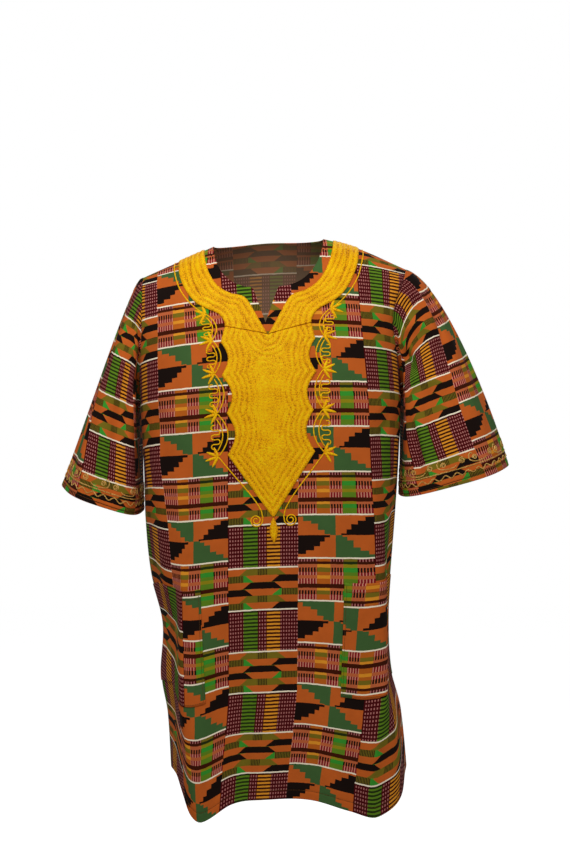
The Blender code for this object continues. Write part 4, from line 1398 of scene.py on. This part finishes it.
def cuff_places(sleeve):
    """How far round the cuff the sleeve's columns lie, and shares of its length at levels above the hem."""
    shares = np.linspace(0.3, 1, 141)
    turn, share = np.meshgrid(SLEEVE_TURNS, shares)
    points = sleeve_points(sleeve, turn, share)
    along = np.linalg.norm(np.diff(points, axis=0), axis=-1)
    above = np.concatenate((np.zeros((1, len(SLEEVE_TURNS))), np.cumsum(along[::-1], axis=0)))
    around = np.concatenate(([0.0], np.cumsum(np.linalg.norm(np.diff(points[-1], axis=0), axis=-1))))
    levels = np.stack([np.interp(CUFF_LEVELS, column, shares[::-1]) for column in above.T], axis=-1)
    return around, levels


def mixed(table, row, column):
    """Reads a table between its cells."""
    low_row = np.clip(np.floor(row).astype(int), 0, table.shape[0] - 2)
    low_column = np.clip(np.floor(column).astype(int), 0, table.shape[1] - 2)
    part, side = row - low_row, column - low_column
    first = table[low_row, low_column] * (1 - side) + table[low_row, low_column + 1] * side
    second = table[low_row + 1, low_column] * (1 - side) + table[low_row + 1, low_column + 1] * side
    return first * (1 - part) + second * part


def sleeve_normals(sleeve, turn, share):
    """Unit normals of a sleeve, out of the shirt."""
    step = NORMAL_STEP
    over = sleeve_points(sleeve, turn + step, share) - sleeve_points(sleeve, turn - step, share)
    under = sleeve_points(sleeve, turn, share + step) - sleeve_points(sleeve, turn, share - step)
    return unit(np.cross(over, under)) * -sleeve["side"]


def over_sleeve(sleeve, turn, share, lift):
    """Points lifted off a sleeve's outer face."""
    lift = np.asarray(lift)[..., None]
    return sleeve_points(sleeve, turn, share) + sleeve_normals(sleeve, turn, share) * lift


# Paler golden thread, in tones from painted shade at the lines' sides to painted highlight on their tops
pale = satin_thread(
    "pale_satin_stitch", (150, 100, 34), (206, 156, 74), (238, 192, 108), (248, 206, 126), (255, 220, 148)
)
for name, sleeve in SLEEVES.items():
    around, levels = cuff_places(sleeve)
    girth = around[-1]

    def near_cuff(along, above, lift):
        turn = np.interp(along % girth, around, SLEEVE_TURNS)
        share = mixed(levels, above / CUFF_LEVELS[1], (turn - SLEEVE_TURNS[0]) * SLEEVE_COLUMNS)
        return over_sleeve(sleeve, turn, share, lift)

    count = round(girth / SCROLL)
    run = np.linspace(0, girth, round(girth / CUFF_STEP))
    waves = round(girth / CUFF_WAVE_LENGTH)
    wave = np.sin(2 * math.pi * waves * run / girth + 0.8 * np.sin(6 * math.pi * run / girth))
    paths = [
        np.stack((run, np.full_like(run, CUFF_LINE)), axis=-1),
        np.stack((run, CUFF_WAVE_LEVEL + CUFF_WAVE_HALF * wave), axis=-1),
    ]
    for number in range(count):
        start = number * girth / count
        sweep = np.array([(start + share * girth / count, above) for share, above in SCROLL_SWEEP])
        paths.append(smooth_path(sweep))
        for share, above, radius, begins, winds in SCROLL_CURLS:
            paths.append(curl((start + share * girth / count, above), radius, begins, winds))
    strips = [stitched_strip(path, near_cuff, CUFF_WIDTH, CUFF_HEIGHT) for path in paths]
    thread_piece(f"{name.replace('sleeve', 'cuff')}_stitching", strips, pale)

# Topstitching: rows of short lockstitches in brown cotton thread hold the turned hem, the cuffs' hems and
# the pockets. Each row is 11 to 14 mm from a hem's edge, or 3 mm inside a pocket's edge.
STITCH = 0.0030
STITCH_WIDTH = 0.0008
STITCH_HEIGHT = 0.0005
STITCH_STEP = 0.00075
PANEL_HALF = 0.27
HEM_RUN = np.linspace(-0.98, 0.98, 9) * PANEL_HALF
CUFF_RUN = np.linspace(0.505, 1.495, 9) * SLEEVE_GIRTH
POCKET_INSET = 0.003
POCKET_HEM = 0.014
POCKET_SIDE = 0.012
# Brown thread, in tones from painted shade at the stitches' sides to painted highlight on their tops
topstitch = satin_thread(
    "brown_topstitch", (52, 30, 14), (76, 44, 20), (96, 58, 26), (112, 70, 32), (128, 84, 42)
)


def stitch_row(places, place, name):
    """One piece of thread, its rows of lockstitches through a few places each."""
    strips = []
    for run in places:
        path = smooth_path(run, STITCH_STEP)
        strips.append(stitched_strip(path, place, STITCH_WIDTH, STITCH_HEIGHT, pitch=STITCH))
    return thread_piece(name, strips, topstitch)


for name, panel in (("front", FRONT), ("back", BACK)):
    def near_panel(run, down, lift):
        return over_body(panel, run / PANEL_HALF, down, lift)

    hem = [(run, LENGTH - BODY_HEM) for run in HEM_RUN]
    stitch_row([hem], near_panel, f"{name}_hem_stitches")

for name, sleeve in SLEEVES.items():
    def near_hem(run, above, lift):
        return over_sleeve(sleeve, run / SLEEVE_GIRTH, 1 - above / SLEEVE_LENGTH, lift)

    hem = [(run, CUFF_HEM) for run in CUFF_RUN]
    stitch_row([hem], near_hem, f"{name.replace('sleeve', 'cuff')}_hem_stitches")

for name, side in (("pocket_left", -1), ("pocket_right", 1)):
    def on_pocket(x, down, lift):
        return over_body(FRONT, across_at(x, down), down, lift + POCKET_LIFT + COTTON_WALL)

    top = POCKET_INNER[name][0] + side * POCKET_INSET
    bottom = POCKET_INNER[name][1] + side * POCKET_INSET
    last = side * (float(half_width(np.array(float(side)), np.array(POCKET_BOTTOM))) - POCKET_SIDE)
    inner_row = [(top, POCKET_TOP + POCKET_INSET), (bottom, POCKET_BOTTOM - POCKET_INSET)]
    lower_row = [(bottom, POCKET_BOTTOM - POCKET_INSET), (last, POCKET_BOTTOM - POCKET_INSET)]
    hem_row = [(top, POCKET_TOP + POCKET_HEM), (last, POCKET_TOP + POCKET_HEM)]
    stitch_row((inner_row, lower_row, hem_row), on_pocket, f"{name}_stitches")
